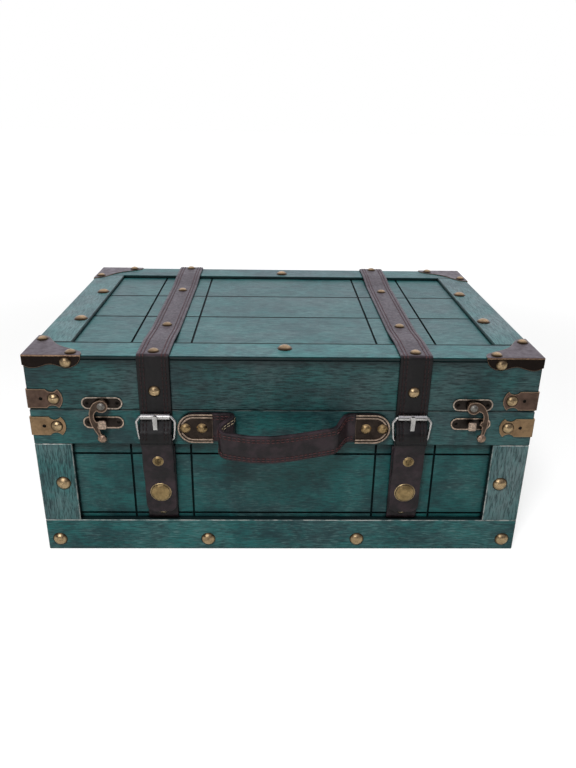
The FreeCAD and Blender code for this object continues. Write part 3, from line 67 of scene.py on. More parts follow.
# Straps
STRAP_X = 0.1026
STRAP_WIDTH = 0.0254
STRAP_THICK = 0.0020
STRAP_BEND = 0.0018
STRAP_BACK_LENGTH = 0.026
STRAP_BRINK = 0.0335
STRAP_SETTLED = 0.0680
STRAP_DIP = 0.060
TONGUE_BEND_Z = 0.1285
TONGUE_FRONT_Z = 0.1180
TONGUE_END_Z = 0.1085
TONGUE_OUT = 0.00955
TONGUE_BEND = 0.007
PRONG_HOLE_Z = (0.1135, 0.1210)
PRONG_HOLE_HALF = 0.0022
TAB_LOOP = 0.00235
TAB_BACK_OUT = 0.00265
TAB_FRONT_OUT = 0.00735
TAB_PAIRED_OUT = 0.00485
TAB_SNAP_OUT = 0.0015
TAB_FOLD_END_Z = 0.0820
TAB_HEEL_TOP_Z = 0.11335
TAB_LEAN_Z = 0.10765
TAB_WAIST_Z = 0.0993
TAB_SETTLE_Z = 0.0698
TAB_END_Z = 0.0403
TAB_BEND = 0.009
TAB_TIP_RADIUS = 0.007
BASE_STRAP_TOP_Z = 0.1010

# Leather strip section
LEATHER_EDGE = 0.0007
CROWN = 0.00012
SEAM_DEPTH = 0.00013
SEAM_HALF = 0.0005
SEAM_INSETS = (0.0029, 0.0055)
HANDLE_SEAM_INSETS = (0.0024, 0.0048)
PATH_STEP = 0.004
ARC_STEP = math.radians(12)
SHORTEST_STEP = 1e-9
TIP_ANGLES = tuple(math.radians(degrees) for degrees in (0, 15, 30, 45, 60, 75))
EDGE_ANGLES = tuple(math.radians(degrees) for degrees in (90, 60, 30, 0))

# Stitches
STITCH_LENGTH = 0.0027
STITCH_PITCH = 0.0037
STITCH_RADIUS = 0.00038
STITCH_SINK = 0.00012
STITCH_SIDES = 6
INNER_STITCH_SINK = 0.00036
# Along a stitch: share of its length and share of its radius
STITCH_SHARES = ((0.0, 0.35), (0.12, 0.85), (0.3, 1.0), (0.7, 1.0), (0.88, 0.85), (1.0, 0.35))
STITCH_END_SINK_SHARE = 0.8

# Handle
HANDLE_Z = 0.1204
HANDLE_WIDTH = 0.025
HANDLE_THICK = 0.0032
HANDLE_END_X = 0.0846
HANDLE_NECK_X = -0.0340
HANDLE_FOLD_X = -0.0570
HANDLE_BOW_X = -0.0180
HANDLE_SHOULDER_X = 0.0403
HANDLE_FOOT_X = 0.0505
HANDLE_FOLD_REACH = 0.0225
HANDLE_BOW_REACH = 0.0352
HANDLE_SHOULDER_REACH = 0.0194
HANDLE_RADII = (0.0045, 0.007, 0.0853, 0.009, 0.008)
HANDLE_END_RADIUS = 0.012
HANDLE_DROOP = math.radians(9)
HANDLE_FLEX_START = 0.006
HANDLE_FLEX_END = 0.020
HANDLE_SEAM_MARGIN = 0.026

# Marks on the metal, as ranges along one axis: painted highlights on ridges, rims, heads, knobs and bends,
# partly worn bright; the lid's top, with painted shade on its tacks and a painted sheen on the straps; and a
# painted highlight on the tack under the tab's tip
HANDLE_RIDGES = ("Y", -0.160, -0.1447)
LATCH_RIMS = ("Y", -0.1412, -0.1408)
POST_HEADS = ("Y", -0.160, -0.1450)
HOOK_KNOBS = ("Y", -0.160, -0.1454)
CAP_BEND = ("Z", 0.1800, 0.1811)
LID_TOP = ("Z", 0.1772, 0.2000)
TAB_TIP_TACK = ("Z", 0.0310, 0.0405)
# Painted rings of shade on the tabs' studs, in the rivet's dish and the snap's groove: height of the middle,
# inner and outer radius
RIVET_EYE = (0.0910, 0.0, 0.0028)
SNAP_GROOVE = (0.0595, 0.0073, 0.0081)

# Camera, from a fit to the corners of the trunk in the photograph
CAMERA_PLACE = (-0.01011, -0.63775, 0.37156)
CAMERA_FORWARD = (0.02333, 0.91859, -0.39453)
CAMERA_RIGHT = (0.99970911, -0.01904107, 0.01480307)
CAMERA_LENS = 32.19
CAMERA_SENSOR = 36.0

# Light
LIGHT_TARGET = (0, -0.1, 0.1)
KEY_PLACE = (-0.2, -1.05, 1.35)
KEY_SIZE = 0.5
KEY_POWER = 26.0
FRONT_PLACE = (-0.5, -1.5, 0.95)
FRONT_SIZE = 0.9
FRONT_POWER = 5.0
BACK_PLACE = (0.3, 2.0, 0.6)
BACK_SIZE = 1.2
BACK_POWER = 14.0
WORLD_LIGHT = 0.22
MIRRORED_FRONT = 0.12
MIRRORED_BACK = 1.09
MIRRORED_SKY = 0.5
MIRRORED_TINT = (0.925, 0.91, 1.0, 1)
# Directions between which the mirrored room grows from dim to bright, backwards and upwards
BACKDROP_RISE = (-0.4, 0.3)
SKY_RISE = (0.35, 0.75)
FLOOR_HALF = 6.0
FLOOR_TONE = (0.42, 0.42, 0.42, 1)
FLOOR_ROUGHNESS = 0.9
FLOOR_GLOW = (0.62, 1.0)
FLOOR_GLOW_REACH = (0.45, 1.6)

AXES = "XYZ"
WHITE = (1, 1, 1, 1)
BLACK = (0, 0, 0, 1)
CELL_SMOOTHNESS = 0.6
CREVICE_SAMPLES = 8
EDGE_SAMPLES = 6


class Graph:
    """A material's nodes, with short calls for the ones that the materials share."""

    def __init__(self, name):
        self.material = bpy.data.materials.new(name)
        self.material.use_nodes = True
        self.tree = self.material.node_tree
        self.shader = self.tree.nodes["Principled BSDF"]
        self.coords = self.add("ShaderNodeTexCoord")
        self.place = self.coords.outputs["Object"]

    def add(self, kind, **settings):
        node = self.tree.nodes.new(kind)
        for key, value in settings.items():
            setattr(node, key, value)
        return node

    def feed(self, socket, value):
        if isinstance(value, bpy.types.NodeSocket):
            self.tree.links.new(value, socket)
        else:
            socket.default_value = value

    def set(self, name, value):
        self.feed(self.shader.inputs[name], value)

    def math(self, operation, a, b=0.0):
        node = self.add("ShaderNodeMath", operation=operation)
        self.feed(node.inputs[0], a)
        self.feed(node.inputs[1], b)
        return node.outputs[0]

    def vector(self, operation, a, b=(0, 0, 0)):
        node = self.add("ShaderNodeVectorMath", operation=operation)
        self.feed(node.inputs[0], a)
        self.feed(node.inputs[1], b)
        return node.outputs[0]

    def parts(self, vector):
        node = self.add("ShaderNodeSeparateXYZ")
        self.feed(node.inputs[0], vector)
        return node.outputs

    def mix(self, share, a, b, blend="MIX"):
        node = self.add("ShaderNodeMix", data_type="RGBA", blend_type=blend)
        self.feed(node.inputs[0], share)
        self.feed(node.inputs[6], a)
        self.feed(node.inputs[7], b)
        return node.outputs[2]

    def mix_value(self, share, a, b):
        node = self.add("ShaderNodeMix", data_type="FLOAT")
        self.feed(node.inputs[0], share)
        self.feed(node.inputs[2], a)
        self.feed(node.inputs[3], b)
        return node.outputs[0]

    def mix_vector(self, share, a, b):
        node = self.add("ShaderNodeMix", data_type="VECTOR")
        self.feed(node.inputs[0], share)
        self.feed(node.inputs[4], a)
        self.feed(node.inputs[5], b)
        return node.outputs[1]

    def ramp(self, value, low, high, start=0.0, end=1.0):
        node = self.add("ShaderNodeMapRange", interpolation_type="SMOOTHSTEP")
        self.feed(node.inputs["Value"], value)
        for name, limit in (("From Min", low), ("From Max", high), ("To Min", start), ("To Max", end)):
            node.inputs[name].default_value = limit
        return node.outputs[0]

    def noise(self, vector, scale, detail=4.0, roughness=0.55, distortion=0.0):
        node = self.add("ShaderNodeTexNoise")
        self.feed(node.inputs["Vector"], vector)
        values = {"Scale": scale, "Detail": detail, "Roughness": roughness, "Distortion": distortion}
        for name, value in values.items():
            node.inputs[name].default_value = value
        return node.outputs[0]

    def cells(self, vector, scale):
        node = self.add("ShaderNodeTexVoronoi", feature="SMOOTH_F1")
        self.feed(node.inputs["Vector"], vector)
        node.inputs["Scale"].default_value = scale
        node.inputs["Smoothness"].default_value = CELL_SMOOTHNESS
        return node.outputs[0]

    def bump(self, height, strength, distance):
        node = self.add("ShaderNodeBump")
        self.feed(node.inputs["Height"], height)
        node.inputs["Strength"].default_value = strength
        node.inputs["Distance"].default_value = distance
        self.set("Normal", node.outputs[0])

    def within(self, axis, low, high):
        """1 where the place along this axis lies between two values, else 0."""
        here = self.parts(self.place)[AXES.index(axis)]
        above = self.math("GREATER_THAN", here, low)
        return self.math("MULTIPLY", above, self.math("LESS_THAN", here, high))

    def outward(self):
        """How squarely a head looks away from the face that it sits on: top, end, or front and back."""
        x, y, z = self.parts(self.place)
        normal = [self.math("ABSOLUTE", part) for part in self.parts(self.coords.outputs["Normal"])]
        on_end = self.math("GREATER_THAN", self.math("ABSOLUTE", x), HALF_LENGTH)
        on_top = self.math("GREATER_THAN", z, PLANK_TOP)
        over_lid = self.math("LESS_THAN", self.math("ABSOLUTE", y), HALF_DEPTH)
        on_top = self.math("MULTIPLY", on_top, over_lid)
        beside = self.mix_value(on_end, normal[1], normal[0])
        return self.mix_value(on_top, beside, self.mix_value(on_end, normal[2], normal[0]))

    def strap_aside(self):
        """How far a place lies to the side of the nearer strap's middle line."""
        x = self.math("ABSOLUTE", self.parts(self.place)[0])
        return self.math("ABSOLUTE", self.math("SUBTRACT", x, STRAP_X))

    def ring(self, height, inner, outer):
        """1 in a ring round a point on the middle line of either strap, else 0."""
        aside = self.strap_aside()
        above = self.math("SUBTRACT", self.parts(self.place)[2], height)
        aside_square = self.math("MULTIPLY", aside, aside)
        square = self.math("ADD", aside_square, self.math("MULTIPLY", above, above))
        inside = self.math("LESS_THAN", square, outer ** 2)
        return self.math("MULTIPLY", inside, self.math("GREATER_THAN", square, inner ** 2))

    def crevices(self, reach, shut_share, clear_share):
        """1 deep in seams and corners, 0 on open faces. The shares are of free sky."""
        node = self.add("ShaderNodeAmbientOcclusion", samples=CREVICE_SAMPLES)
        node.inputs["Distance"].default_value = reach
        return self.ramp(node.outputs["AO"], shut_share, clear_share, 1.0, 0.0)

    def edges(self, radius):
        """How far the surface turns within the radius: 0 on flats, more along sharp edges."""
        bevel = self.add("ShaderNodeBevel", samples=EDGE_SAMPLES)
        bevel.inputs["Radius"].default_value = radius
        true = self.add("ShaderNodeNewGeometry").outputs["True Normal"]
        dot = self.add("ShaderNodeVectorMath", operation="DOT_PRODUCT")
        self.feed(dot.inputs[0], bevel.outputs[0])
        self.feed(dot.inputs[1], true)
        return self.math("SUBTRACT", 1.0, dot.outputs["Value"])


# Wood

WOOD_DEEP = (0.0025, 0.0140, 0.0165, 1)
WOOD_TEAL = (0.0025, 0.0320, 0.0360, 1)
WOOD_BRIGHT = (0.0060, 0.1000, 0.0960, 1)
WOOD_GREY = (0.0850, 0.1250, 0.1280, 1)
WOOD_FLECK = (0.0800, 0.1700, 0.1640, 1)
WOOD_DARK_EDGE = (0.0020, 0.0030, 0.0035, 1)
WOOD_WORN = (0.330, 0.335, 0.315, 1)
SEED_STEPS = (3.7, 5.3, 2.9)
# Marks to the metre along the grain and across it
GRAIN = (110.0, 1150.0)
BROAD_GRAIN = (26.0, 110.0)
FLECKS = (130.0, 1350.0)
# Noise: scale, detail, roughness and, for some, distortion
FINE_NOISE = (1.0, 5.0, 0.7, 0.2)
BROAD_NOISE = (1.0, 4.0, 0.65, 0.4)
FLECK_NOISE = (1.0, 2.0, 0.5)
CLOUD_NOISE = (26.0, 6.0, 0.68, 0.5)
HAZE_NOISE = (17.0, 4.0, 0.6, 0.6)
SCUFF_NOISE = (90.0, 4.0, 0.7)
# Ranges of noise, some with the two values that they lead to
PATCH_RANGE = (0.38, 0.61)
HAZE_RANGE = (0.42, 0.66)
STREAK_RANGE = (0.41, 0.55)
FLECK_RANGE = (0.53, 0.68, 0.0, 0.5)
FLECK_HAZE_RANGE = (0.36, 0.60, 0.15, 1.0)
SCUFF_RANGE = (0.36, 0.60, 0.1, 1.0)
WOOD_ROUGHNESS = (0.36, 0.62, 0.50, 0.36)
# Range of painted shade and dark joints, and the shine at its two ends
WOOD_SHINE = (0.0, 0.8, 0.5, 0.05)
CLOUD_SHARE = 0.7
BROAD_SHARE = 0.3
HAZE_SHARE = 0.15
GREY_SHARE = 0.5
OVERHANG_SHADE_SHARE = 0.75
GROOVE_SHADE_SHARE = 0.9
SHADOW_LINE_SHARE = 0.9
UNWORN_SHARE = 0.8
PLANK_FRONT_SHARE = 0.9
EASED_BELOW = 0.9
TURNED_BELOW = 0.5
# Reach and shares of free sky for the painted shade in seams and corners
CREVICE_SHADE_REACH = 0.004
CREVICE_SHADE_SHARES = (0.35, 0.80)
WOOD_BUMP = 0.35
FLECK_BUMP_SHARE = 0.5
WOOD_RELIEF = 0.0004
GROOVE_TURN = 0.00015
GROOVE_FLOOR = 0.0016
PLANK_SEAMS = (-0.030, 0.038)
PLANK_SEAM_HALF = 0.0012
PLANK_FRONT_SHADE = (-0.1062, -0.0975)
# Heights of a painted shade under the lid's top edge
LID_OVERHANG_SHADE = (0.1680, 0.1790)
# Where the top front rail carries a painted shadow line on its inner arris
TOP_RAIL_SHADOW_LINE = ("Y", -0.1106, -0.1080)


def grain_scales(axis, along, across):
    """One scale along the grain's axis and another on the two axes across it."""
    return tuple(along if letter == axis else across for letter in AXES)


def wood(name, grain, face, streaks, patches=1.0, stile_grain=None, dark_edges=0.92, level=None,
         planks=False, overhang_shade=None, shadow_line=None):
    """Stained wood with dark streaks along one axis and paler patches.
    Edges that don't face the main axis are dark, and so are eased edges that aren't worn.
    In a frame made as one piece, the boards between the rails may have a grain of their own.
    Grooves that lie deeper than the level of the face get painted shade, seams and corners get painted shade
    from how shut in they are, and the seams between planks are dark, with a painted shade along the front
    rail.
    The range for a painted shade under the lid's top edge gives the height where a board starts to darken,
    and the height where it is darkest.
    The range for a painted shadow line gives where that line lies."""
    g = Graph(name)
    info = g.add("ShaderNodeObjectInfo")
    seed, grey, light = g.parts(info.outputs["Color"])
    wear = info.outputs["Alpha"]
    x, y, z = g.parts(g.place)
    shifts = g.vector("SCALE", SEED_STEPS)
    g.feed(shifts.node.inputs["Scale"], seed)
    place = g.vector("ADD", g.place, shifts)
    low_end = g.math("GREATER_THAN", z, BOTTOM_RAIL_TOP)
    between_rails = g.math("MULTIPLY", low_end, g.math("LESS_THAN", z, TOP_RAIL_BOTTOM))

    def stretched(along, across):
        main = g.vector("MULTIPLY", place, grain_scales(grain, along, across))
        if stile_grain is None:
            return main
        other = g.vector("MULTIPLY", place, grain_scales(stile_grain, along, across))
        return g.mix_vector(between_rails, main, other)

    fine = g.noise(stretched(*GRAIN), *FINE_NOISE)
    broad = g.noise(stretched(*BROAD_GRAIN), *BROAD_NOISE)
    fleck = g.noise(stretched(*FLECKS), *FLECK_NOISE)
    cloud = g.noise(place, *CLOUD_NOISE)
    haze = g.noise(g.vector("ADD", place, SEED_STEPS), *HAZE_NOISE)

    tone = g.math("ADD", g.math("MULTIPLY", cloud, CLOUD_SHARE), g.math("MULTIPLY", broad, BROAD_SHARE))
    patch = g.ramp(tone, *PATCH_RANGE, 0.5 - 0.5 * patches, 0.5 + 0.5 * patches)
    colour = g.mix(patch, WOOD_TEAL, WOOD_BRIGHT)
    hazy = g.math("MULTIPLY", g.ramp(haze, *HAZE_RANGE), g.math("ADD", grey, HAZE_SHARE))
    colour = g.mix(hazy, colour, WOOD_GREY)
    colour = g.mix(g.math("MULTIPLY", grey, GREY_SHARE), colour, WOOD_GREY)
    colour = g.mix(g.ramp(fine, *STREAK_RANGE, streaks, 0.0), colour, WOOD_DEEP)
    flecked = g.math("MULTIPLY", g.ramp(fleck, *FLECK_RANGE), g.ramp(haze, *FLECK_HAZE_RANGE))
    colour = g.mix(flecked, colour, WOOD_FLECK)
    # Each board's lightness, which holds painted shade on the lid's front board and painted light on the
    # lid's top boards
    colour = g.mix(1.0, colour, light, "MULTIPLY")
    # Painted shade under the lid's top edge, darker upwards
    if overhang_shade:
        colour = g.mix(g.ramp(z, *overhang_shade, 0.0, OVERHANG_SHADE_SHARE), colour, WOOD_DARK_EDGE)

    normal = [g.math("ABSOLUTE", part) for part in g.parts(g.coords.outputs["Normal"])]
    largest = g.math("MAXIMUM", normal[0], g.math("MAXIMUM", normal[1], normal[2]))
    eased = g.math("LESS_THAN", largest, EASED_BELOW)
    if dark_edges:
        turned = g.math("LESS_THAN", normal[AXES.index(face)], TURNED_BELOW)
        ends = {"X": (y, HALF_DEPTH - CORNER_BOARD), "Y": (x, HALF_LENGTH - TRIM_THICK)}
        if face in ends:
            along, end = ends[face]
            turned = g.math("MULTIPLY", turned, g.math("LESS_THAN", g.math("ABSOLUTE", along), end))
        colour = g.mix(g.math("MULTIPLY", turned, dark_edges), colour, WOOD_DARK_EDGE)
    # Painted shade in seams and corners, from how shut in they are; dark joints join it below
    painted_shade_and_dirt = g.crevices(CREVICE_SHADE_REACH, *CREVICE_SHADE_SHARES)
    # Painted shade in the grooves below the face
    if level:
        depth = g.math("ABSOLUTE", (x, y, z)[AXES.index(face)])
        sunk = g.math("LESS_THAN", depth, level - GROOVE_TURN)
        sunk = g.math("MULTIPLY", sunk, g.math("GREATER_THAN", depth, level - GROOVE_FLOOR))
        painted_shade_and_dirt = g.math("MAXIMUM", painted_shade_and_dirt, g.math("MULTIPLY", sunk, GROOVE_SHADE_SHARE))
    # The seams between planks are dark, and a painted shade lies along the front rail
    if planks:
        lines = g.ramp(y, *PLANK_FRONT_SHADE, PLANK_FRONT_SHARE, 0.0)
        for seam in PLANK_SEAMS:
            aside = g.math("ABSOLUTE", g.math("SUBTRACT", y, seam))
            lines = g.math("MAXIMUM", lines, g.math("LESS_THAN", aside, PLANK_SEAM_HALF))
        outside = g.math("GREATER_THAN", z, level - GROOVE_FLOOR)
        painted_shade_and_dirt = g.math("MAXIMUM", painted_shade_and_dirt, g.math("MULTIPLY", lines, outside))
    unworn = g.math("MULTIPLY", eased, g.math("SUBTRACT", 1.0, wear))
    painted_shade_and_dirt = g.math("MAXIMUM", painted_shade_and_dirt, g.math("MULTIPLY", unworn, UNWORN_SHARE))
    # A painted shadow line along the top rail
    if shadow_line:
        painted_shade_and_dirt = g.math("MAXIMUM", painted_shade_and_dirt, g.math("MULTIPLY", g.within(*shadow_line), SHADOW_LINE_SHARE))
    # The wood darkens with painted shade and with its dark joints
    colour = g.mix(painted_shade_and_dirt, colour, WOOD_DARK_EDGE)
    scuff = g.ramp(g.noise(g.place, *SCUFF_NOISE), *SCUFF_RANGE)
    colour = g.mix(g.math("MULTIPLY", g.math("MULTIPLY", eased, wear), scuff), colour, WOOD_WORN)
    g.set("Base Color", colour)
    g.set("Roughness", g.ramp(fine, *WOOD_ROUGHNESS))
    g.set("Specular IOR Level", g.ramp(painted_shade_and_dirt, *WOOD_SHINE))
    g.bump(g.math("ADD", fine, g.math("MULTIPLY", fleck, FLECK_BUMP_SHARE)), WOOD_BUMP, WOOD_RELIEF)
    return g.material


# Leather and thread

LEATHER_RELIEF = 0.0003
LEATHER_DEEP = (0.0055, 0.0034, 0.0042, 1)
LEATHER_LIGHT = (0.0255, 0.0150, 0.0185, 1)
# Tone of painted shade on the straps and in the leather's crevices
LEATHER_SHADE_TONE = (0.0016, 0.0012, 0.0013, 1)
# Painted sheen on the leather over the lid's top
LEATHER_TOP_SHEEN = (0.060, 0.044, 0.054, 1)
THREAD_BROWN = (0.080, 0.031, 0.031, 1)
THREAD_PALE = (0.36, 0.29, 0.19, 1)
# Painted light on the thread over the lid's top
THREAD_TOP_LIGHT = (0.150, 0.090, 0.100, 1)
# Reach and shares of free sky for the painted shade in the leather's crevices
LEATHER_CREVICE_SHADE_REACH = 0.0035
LEATHER_CREVICE_SHADE_SHARES = (0.25, 0.72)
PEBBLES = 1100.0
PEBBLE_SHARE = 0.6
WRINKLE_NOISE = (380.0, 5.0, 0.65)
WRINKLE_RANGE = (0.5, 0.7, 0.0, 0.5)
WRINKLE_SHARE = 0.6
LEATHER_CLOUD_NOISE = (70.0, 4.0, 0.65)
LEATHER_CLOUD_RANGE = (0.38, 0.66)
LEATHER_ROUGHNESS = (0.35, 0.65, 0.34, 0.52)
LEATHER_SHINE = 0.47
LEATHER_BUMP = 0.3
LEATHER_TOP_SHEEN_SHARE = 0.45
TWIST_NOISE = (2600.0, 2.0, 0.5)
TWIST_RANGE = (0.35, 0.65)
TWIST_SHADE_SHARE = 0.45
THREAD_ROUGHNESS = 0.7
THREAD_TOP_LIGHT_SHARE = 0.6
# Where the straps get painted shade: the lid's front, and the tongue inside the buckle
LID_FRONT = ("Z", 0.1300, 0.1812)
TONGUE = ("Z", 0.1080, 0.1285)
LEATHER_PAINTED_SHADE_BANDS = ((LID_FRONT, 0.9), (TONGUE, 0.95))
THREAD_PAINTED_SHADE_BANDS = ((LID_FRONT, 0.6), (TONGUE, 0.8))


def leather(name):
    """Dark grained leather, with painted shade on the straps' fronts on the lid and on the tongue inside the
    buckle, a painted sheen over the lid, and painted shade in crevices.
    Where a prong goes through a strap, the opening is painted black as a painted shadow."""
    g = Graph(name)
    pebble = g.cells(g.place, PEBBLES)
    wrinkle = g.noise(g.place, *WRINKLE_NOISE)
    broad = g.noise(g.place, *LEATHER_CLOUD_NOISE)
    colour = g.mix(g.ramp(broad, *LEATHER_CLOUD_RANGE), LEATHER_DEEP, LEATHER_LIGHT)
    colour = g.mix(g.ramp(wrinkle, *WRINKLE_RANGE), colour, LEATHER_LIGHT)
    aside = g.strap_aside()
    on_strap = g.math("LESS_THAN", aside, STRAP_WIDTH)
    over_lid = g.within("Y", -HALF_DEPTH, HALF_DEPTH)
    before = g.math("MULTIPLY", on_strap, g.math("SUBTRACT", 1.0, over_lid))
    # Painted shade on the straps' fronts on the lid and on the tongue inside the buckle
    for band, share in LEATHER_PAINTED_SHADE_BANDS:
        painted_shade = g.math("MULTIPLY", g.math("MULTIPLY", before, g.within(*band)), share)
        colour = g.mix(painted_shade, colour, LEATHER_SHADE_TONE)
    # Painted sheen on the leather over the lid's top
    worn = g.math("MULTIPLY", g.within(*LID_TOP), over_lid)
    colour = g.mix(g.math("MULTIPLY", worn, LEATHER_TOP_SHEEN_SHARE), colour, LEATHER_TOP_SHEEN)
    # The prong's opening in the strap is painted black, a painted shadow
    painted_hole_shade = g.math("MULTIPLY", g.math("LESS_THAN", aside, PRONG_HOLE_HALF), g.within("Z", *PRONG_HOLE_Z))
    colour = g.mix(painted_hole_shade, colour, BLACK)
    # Painted shade in the leather's crevices and round the tacks
    painted_shade_and_dirt = g.crevices(LEATHER_CREVICE_SHADE_REACH, *LEATHER_CREVICE_SHADE_SHARES)
    g.set("Base Color", g.mix(painted_shade_and_dirt, colour, LEATHER_SHADE_TONE))
    g.set("Roughness", g.ramp(wrinkle, *LEATHER_ROUGHNESS))
    g.set("Specular IOR Level", LEATHER_SHINE)
    pebbled = g.math("MULTIPLY", pebble, PEBBLE_SHARE)
    g.bump(g.math("ADD", pebbled, g.math("MULTIPLY", wrinkle, WRINKLE_SHARE)), LEATHER_BUMP, LEATHER_RELIEF)
    return g.material


def thread(name, colour):
    """Twisted thread, with painted shade on the straps' fronts and painted light over the lid."""
    g = Graph(name)
    twist = g.noise(g.place, *TWIST_NOISE)
    shade = tuple(part * TWIST_SHADE_SHARE for part in colour[:3]) + (1,)
    tone = g.mix(g.ramp(twist, *TWIST_RANGE), shade, colour)
    on_strap = g.math("LESS_THAN", g.strap_aside(), STRAP_WIDTH / 2)
    # Painted shade on the thread on the straps' fronts on the lid and on the tongue
    for band, share in THREAD_PAINTED_SHADE_BANDS:
        painted_shade = g.math("MULTIPLY", g.math("MULTIPLY", on_strap, g.within(*band)), share)
        tone = g.mix(painted_shade, tone, LEATHER_SHADE_TONE)
    # Painted light on the thread over the lid's top
    worn = g.math("MULTIPLY", g.within(*LID_TOP), g.within("Y", -HALF_DEPTH, HALF_DEPTH))
    tone = g.mix(g.math("MULTIPLY", worn, THREAD_TOP_LIGHT_SHARE), tone, THREAD_TOP_LIGHT)
    g.set("Base Color", tone)
    g.set("Roughness", THREAD_ROUGHNESS)
    return g.material


# Metal

# Tone of patina and painted shade in corners, and of the painted rings on the studs
METAL_SHADE_AND_PATINA = (0.012, 0.010, 0.009, 1)
METAL_CREVICE_REACH = 0.003
METAL_CREVICE_SHARES = (0.30, 0.72)
PATINA_NOISE = (160.0, 5.0, 0.65)
SPECK_NOISE = (700.0, 3.0, 0.6)
# Ranges, some with the two values that they lead to
PATINA_RANGE = (0.40, 0.68)
SPECK_RANGE = (0.58, 0.75)
DIM_RANGE = (0.70, 0.98, 1.0, 0.40)
HEAD_RIM_SHADE_RANGE = (0.68, 0.85, 1.0, 0.0)
EDGE_LINE_RANGE = (0.02, 0.12)
SHINE_RANGE = (0.35, 0.6, 1.0, 0.5)
RING_RANGE = (0.35, 0.6, 0.8, 0.4)
ROUGHNESS_RANGE = (0.3, 0.7)
SMOOTHER = 0.06
ROUGHER = 0.14
SIDE_BELOW = 0.3
METAL_BUMP = 0.15
# Tone of the painted shade round the rims of domed heads
HEAD_RIM_SHADE = (0.030, 0.019, 0.010, 1)
CAP_SIDE = (0.028, 0.021, 0.018, 1)
# Each metal's bright tone, dark patina, and edge tone, partly worn bright and partly a painted highlight
METAL_TONES = {
    "brass_tack": ((0.76, 0.55, 0.31, 1), (0.14, 0.098, 0.058, 1), (0.95, 0.76, 0.50, 1)),
    "brass_rivet": ((0.62, 0.43, 0.21, 1), (0.19, 0.13, 0.06, 1), (0.72, 0.55, 0.31, 1)),
    "brass_stud": ((0.54, 0.38, 0.175, 1), (0.19, 0.13, 0.06, 1), (0.72, 0.55, 0.31, 1)),
    "brass_plate": ((0.46, 0.30, 0.165, 1), (0.19, 0.128, 0.076, 1), (0.62, 0.45, 0.28, 1)),
    "bronze_cap": ((0.115, 0.094, 0.100, 1), (0.07, 0.055, 0.055, 1), (0.52, 0.33, 0.21, 1)),
    "bronze_bracket": ((0.195, 0.125, 0.095, 1), (0.085, 0.06, 0.047, 1), (0.60, 0.41, 0.27, 1)),
    "iron_nail": ((0.020, 0.017, 0.015, 1), (0.01, 0.009, 0.008, 1), (0.05, 0.04, 0.03, 1)),
    "bronze_latch": ((0.055, 0.044, 0.038, 1), (0.025, 0.021, 0.018, 1), (0.92, 0.76, 0.62, 1)),
    "bronze_catch": ((0.055, 0.044, 0.038, 1), (0.025, 0.021, 0.018, 1), (0.92, 0.70, 0.54, 1)),
    "bronze_hook": ((0.13, 0.090, 0.068, 1), (0.06, 0.045, 0.036, 1), (0.68, 0.47, 0.34, 1)),
    "iron_pivot": ((0.36, 0.34, 0.30, 1), (0.14, 0.13, 0.115, 1), (0.5, 0.47, 0.42, 1)),
    "bronze_handle": ((0.060, 0.045, 0.037, 1), (0.03, 0.024, 0.02, 1), (0.70, 0.53, 0.41, 1)),
    "nickel_worn": ((0.86, 0.84, 0.81, 1), (0.22, 0.21, 0.20, 1), (0.95, 0.93, 0.90, 1)),
}
METAL_EDGE = 0.0009
WIDE_EDGE = 0.0016
METAL_RELIEF = 0.0003


def metal(name, roughness, patina=0.5, edge_share=0.8, edge_reach=METAL_EDGE, side=None, shine=(), dim=(),
          rings=(), domed=False):
    """Antiqued metal: a darker patina in patches, patina and painted shade in corners, and a brighter line
    along edges, partly worn bright and partly a painted highlight. side is the tone of faces that don't look
    up. shine gives ranges along an axis with a painted highlight, dim gives ranges with painted shade, and
    rings are painted rings of shade on the tabs' studs. The rims of domed heads get painted shade."""
    g = Graph(name)
    bright, dark, edge = METAL_TONES[name]
    cloud = g.noise(g.place, *PATINA_NOISE)
    fine = g.noise(g.place, *SPECK_NOISE)
    colour = g.mix(g.ramp(cloud, *PATINA_RANGE, 0.0, patina), bright, dark)
    if side:
        up = g.parts(g.coords.outputs["Normal"])[2]
        colour = g.mix(g.math("LESS_THAN", up, SIDE_BELOW), colour, side)
    colour = g.mix(g.ramp(fine, *SPECK_RANGE, 0.0, patina), colour, dark)
    # Painted shade on heads within these ranges, most at their rims
    for band in dim:
        share = g.math("MULTIPLY", g.within(*band), g.ramp(g.outward(), *DIM_RANGE))
        colour = g.mix(share, colour, dark)
    # Painted shade round the rims of domed heads
    if domed:
        colour = g.mix(g.ramp(g.outward(), *HEAD_RIM_SHADE_RANGE), colour, HEAD_RIM_SHADE)
    # Patina and painted shade in corners
    colour = g.mix(g.crevices(METAL_CREVICE_REACH, *METAL_CREVICE_SHARES), colour, METAL_SHADE_AND_PATINA)
    # Edges catch a painted highlight, partly worn bright
    rubbed_and_highlit = g.ramp(g.edges(edge_reach), *EDGE_LINE_RANGE, 0.0, edge_share)
    # Painted highlights along the given bands, partly worn bright
    for band in shine:
        lines = g.math("MULTIPLY", g.within(*band), g.ramp(fine, *SHINE_RANGE))
        rubbed_and_highlit = g.math("MAXIMUM", rubbed_and_highlit, lines)
    colour = g.mix(rubbed_and_highlit, colour, edge)
    # Painted rings of shade in the rivet's dish and the snap's groove
    for band in rings:
        ring = g.math("MULTIPLY", g.ring(*band), g.ramp(fine, *RING_RANGE))
        colour = g.mix(ring, colour, METAL_SHADE_AND_PATINA)
    g.set("Base Color", colour)
    g.set("Metallic", 1.0)
    g.set("Roughness", g.ramp(cloud, *ROUGHNESS_RANGE, roughness - SMOOTHER, roughness + ROUGHER))
    g.bump(fine, METAL_BUMP, METAL_RELIEF)
    return g.material


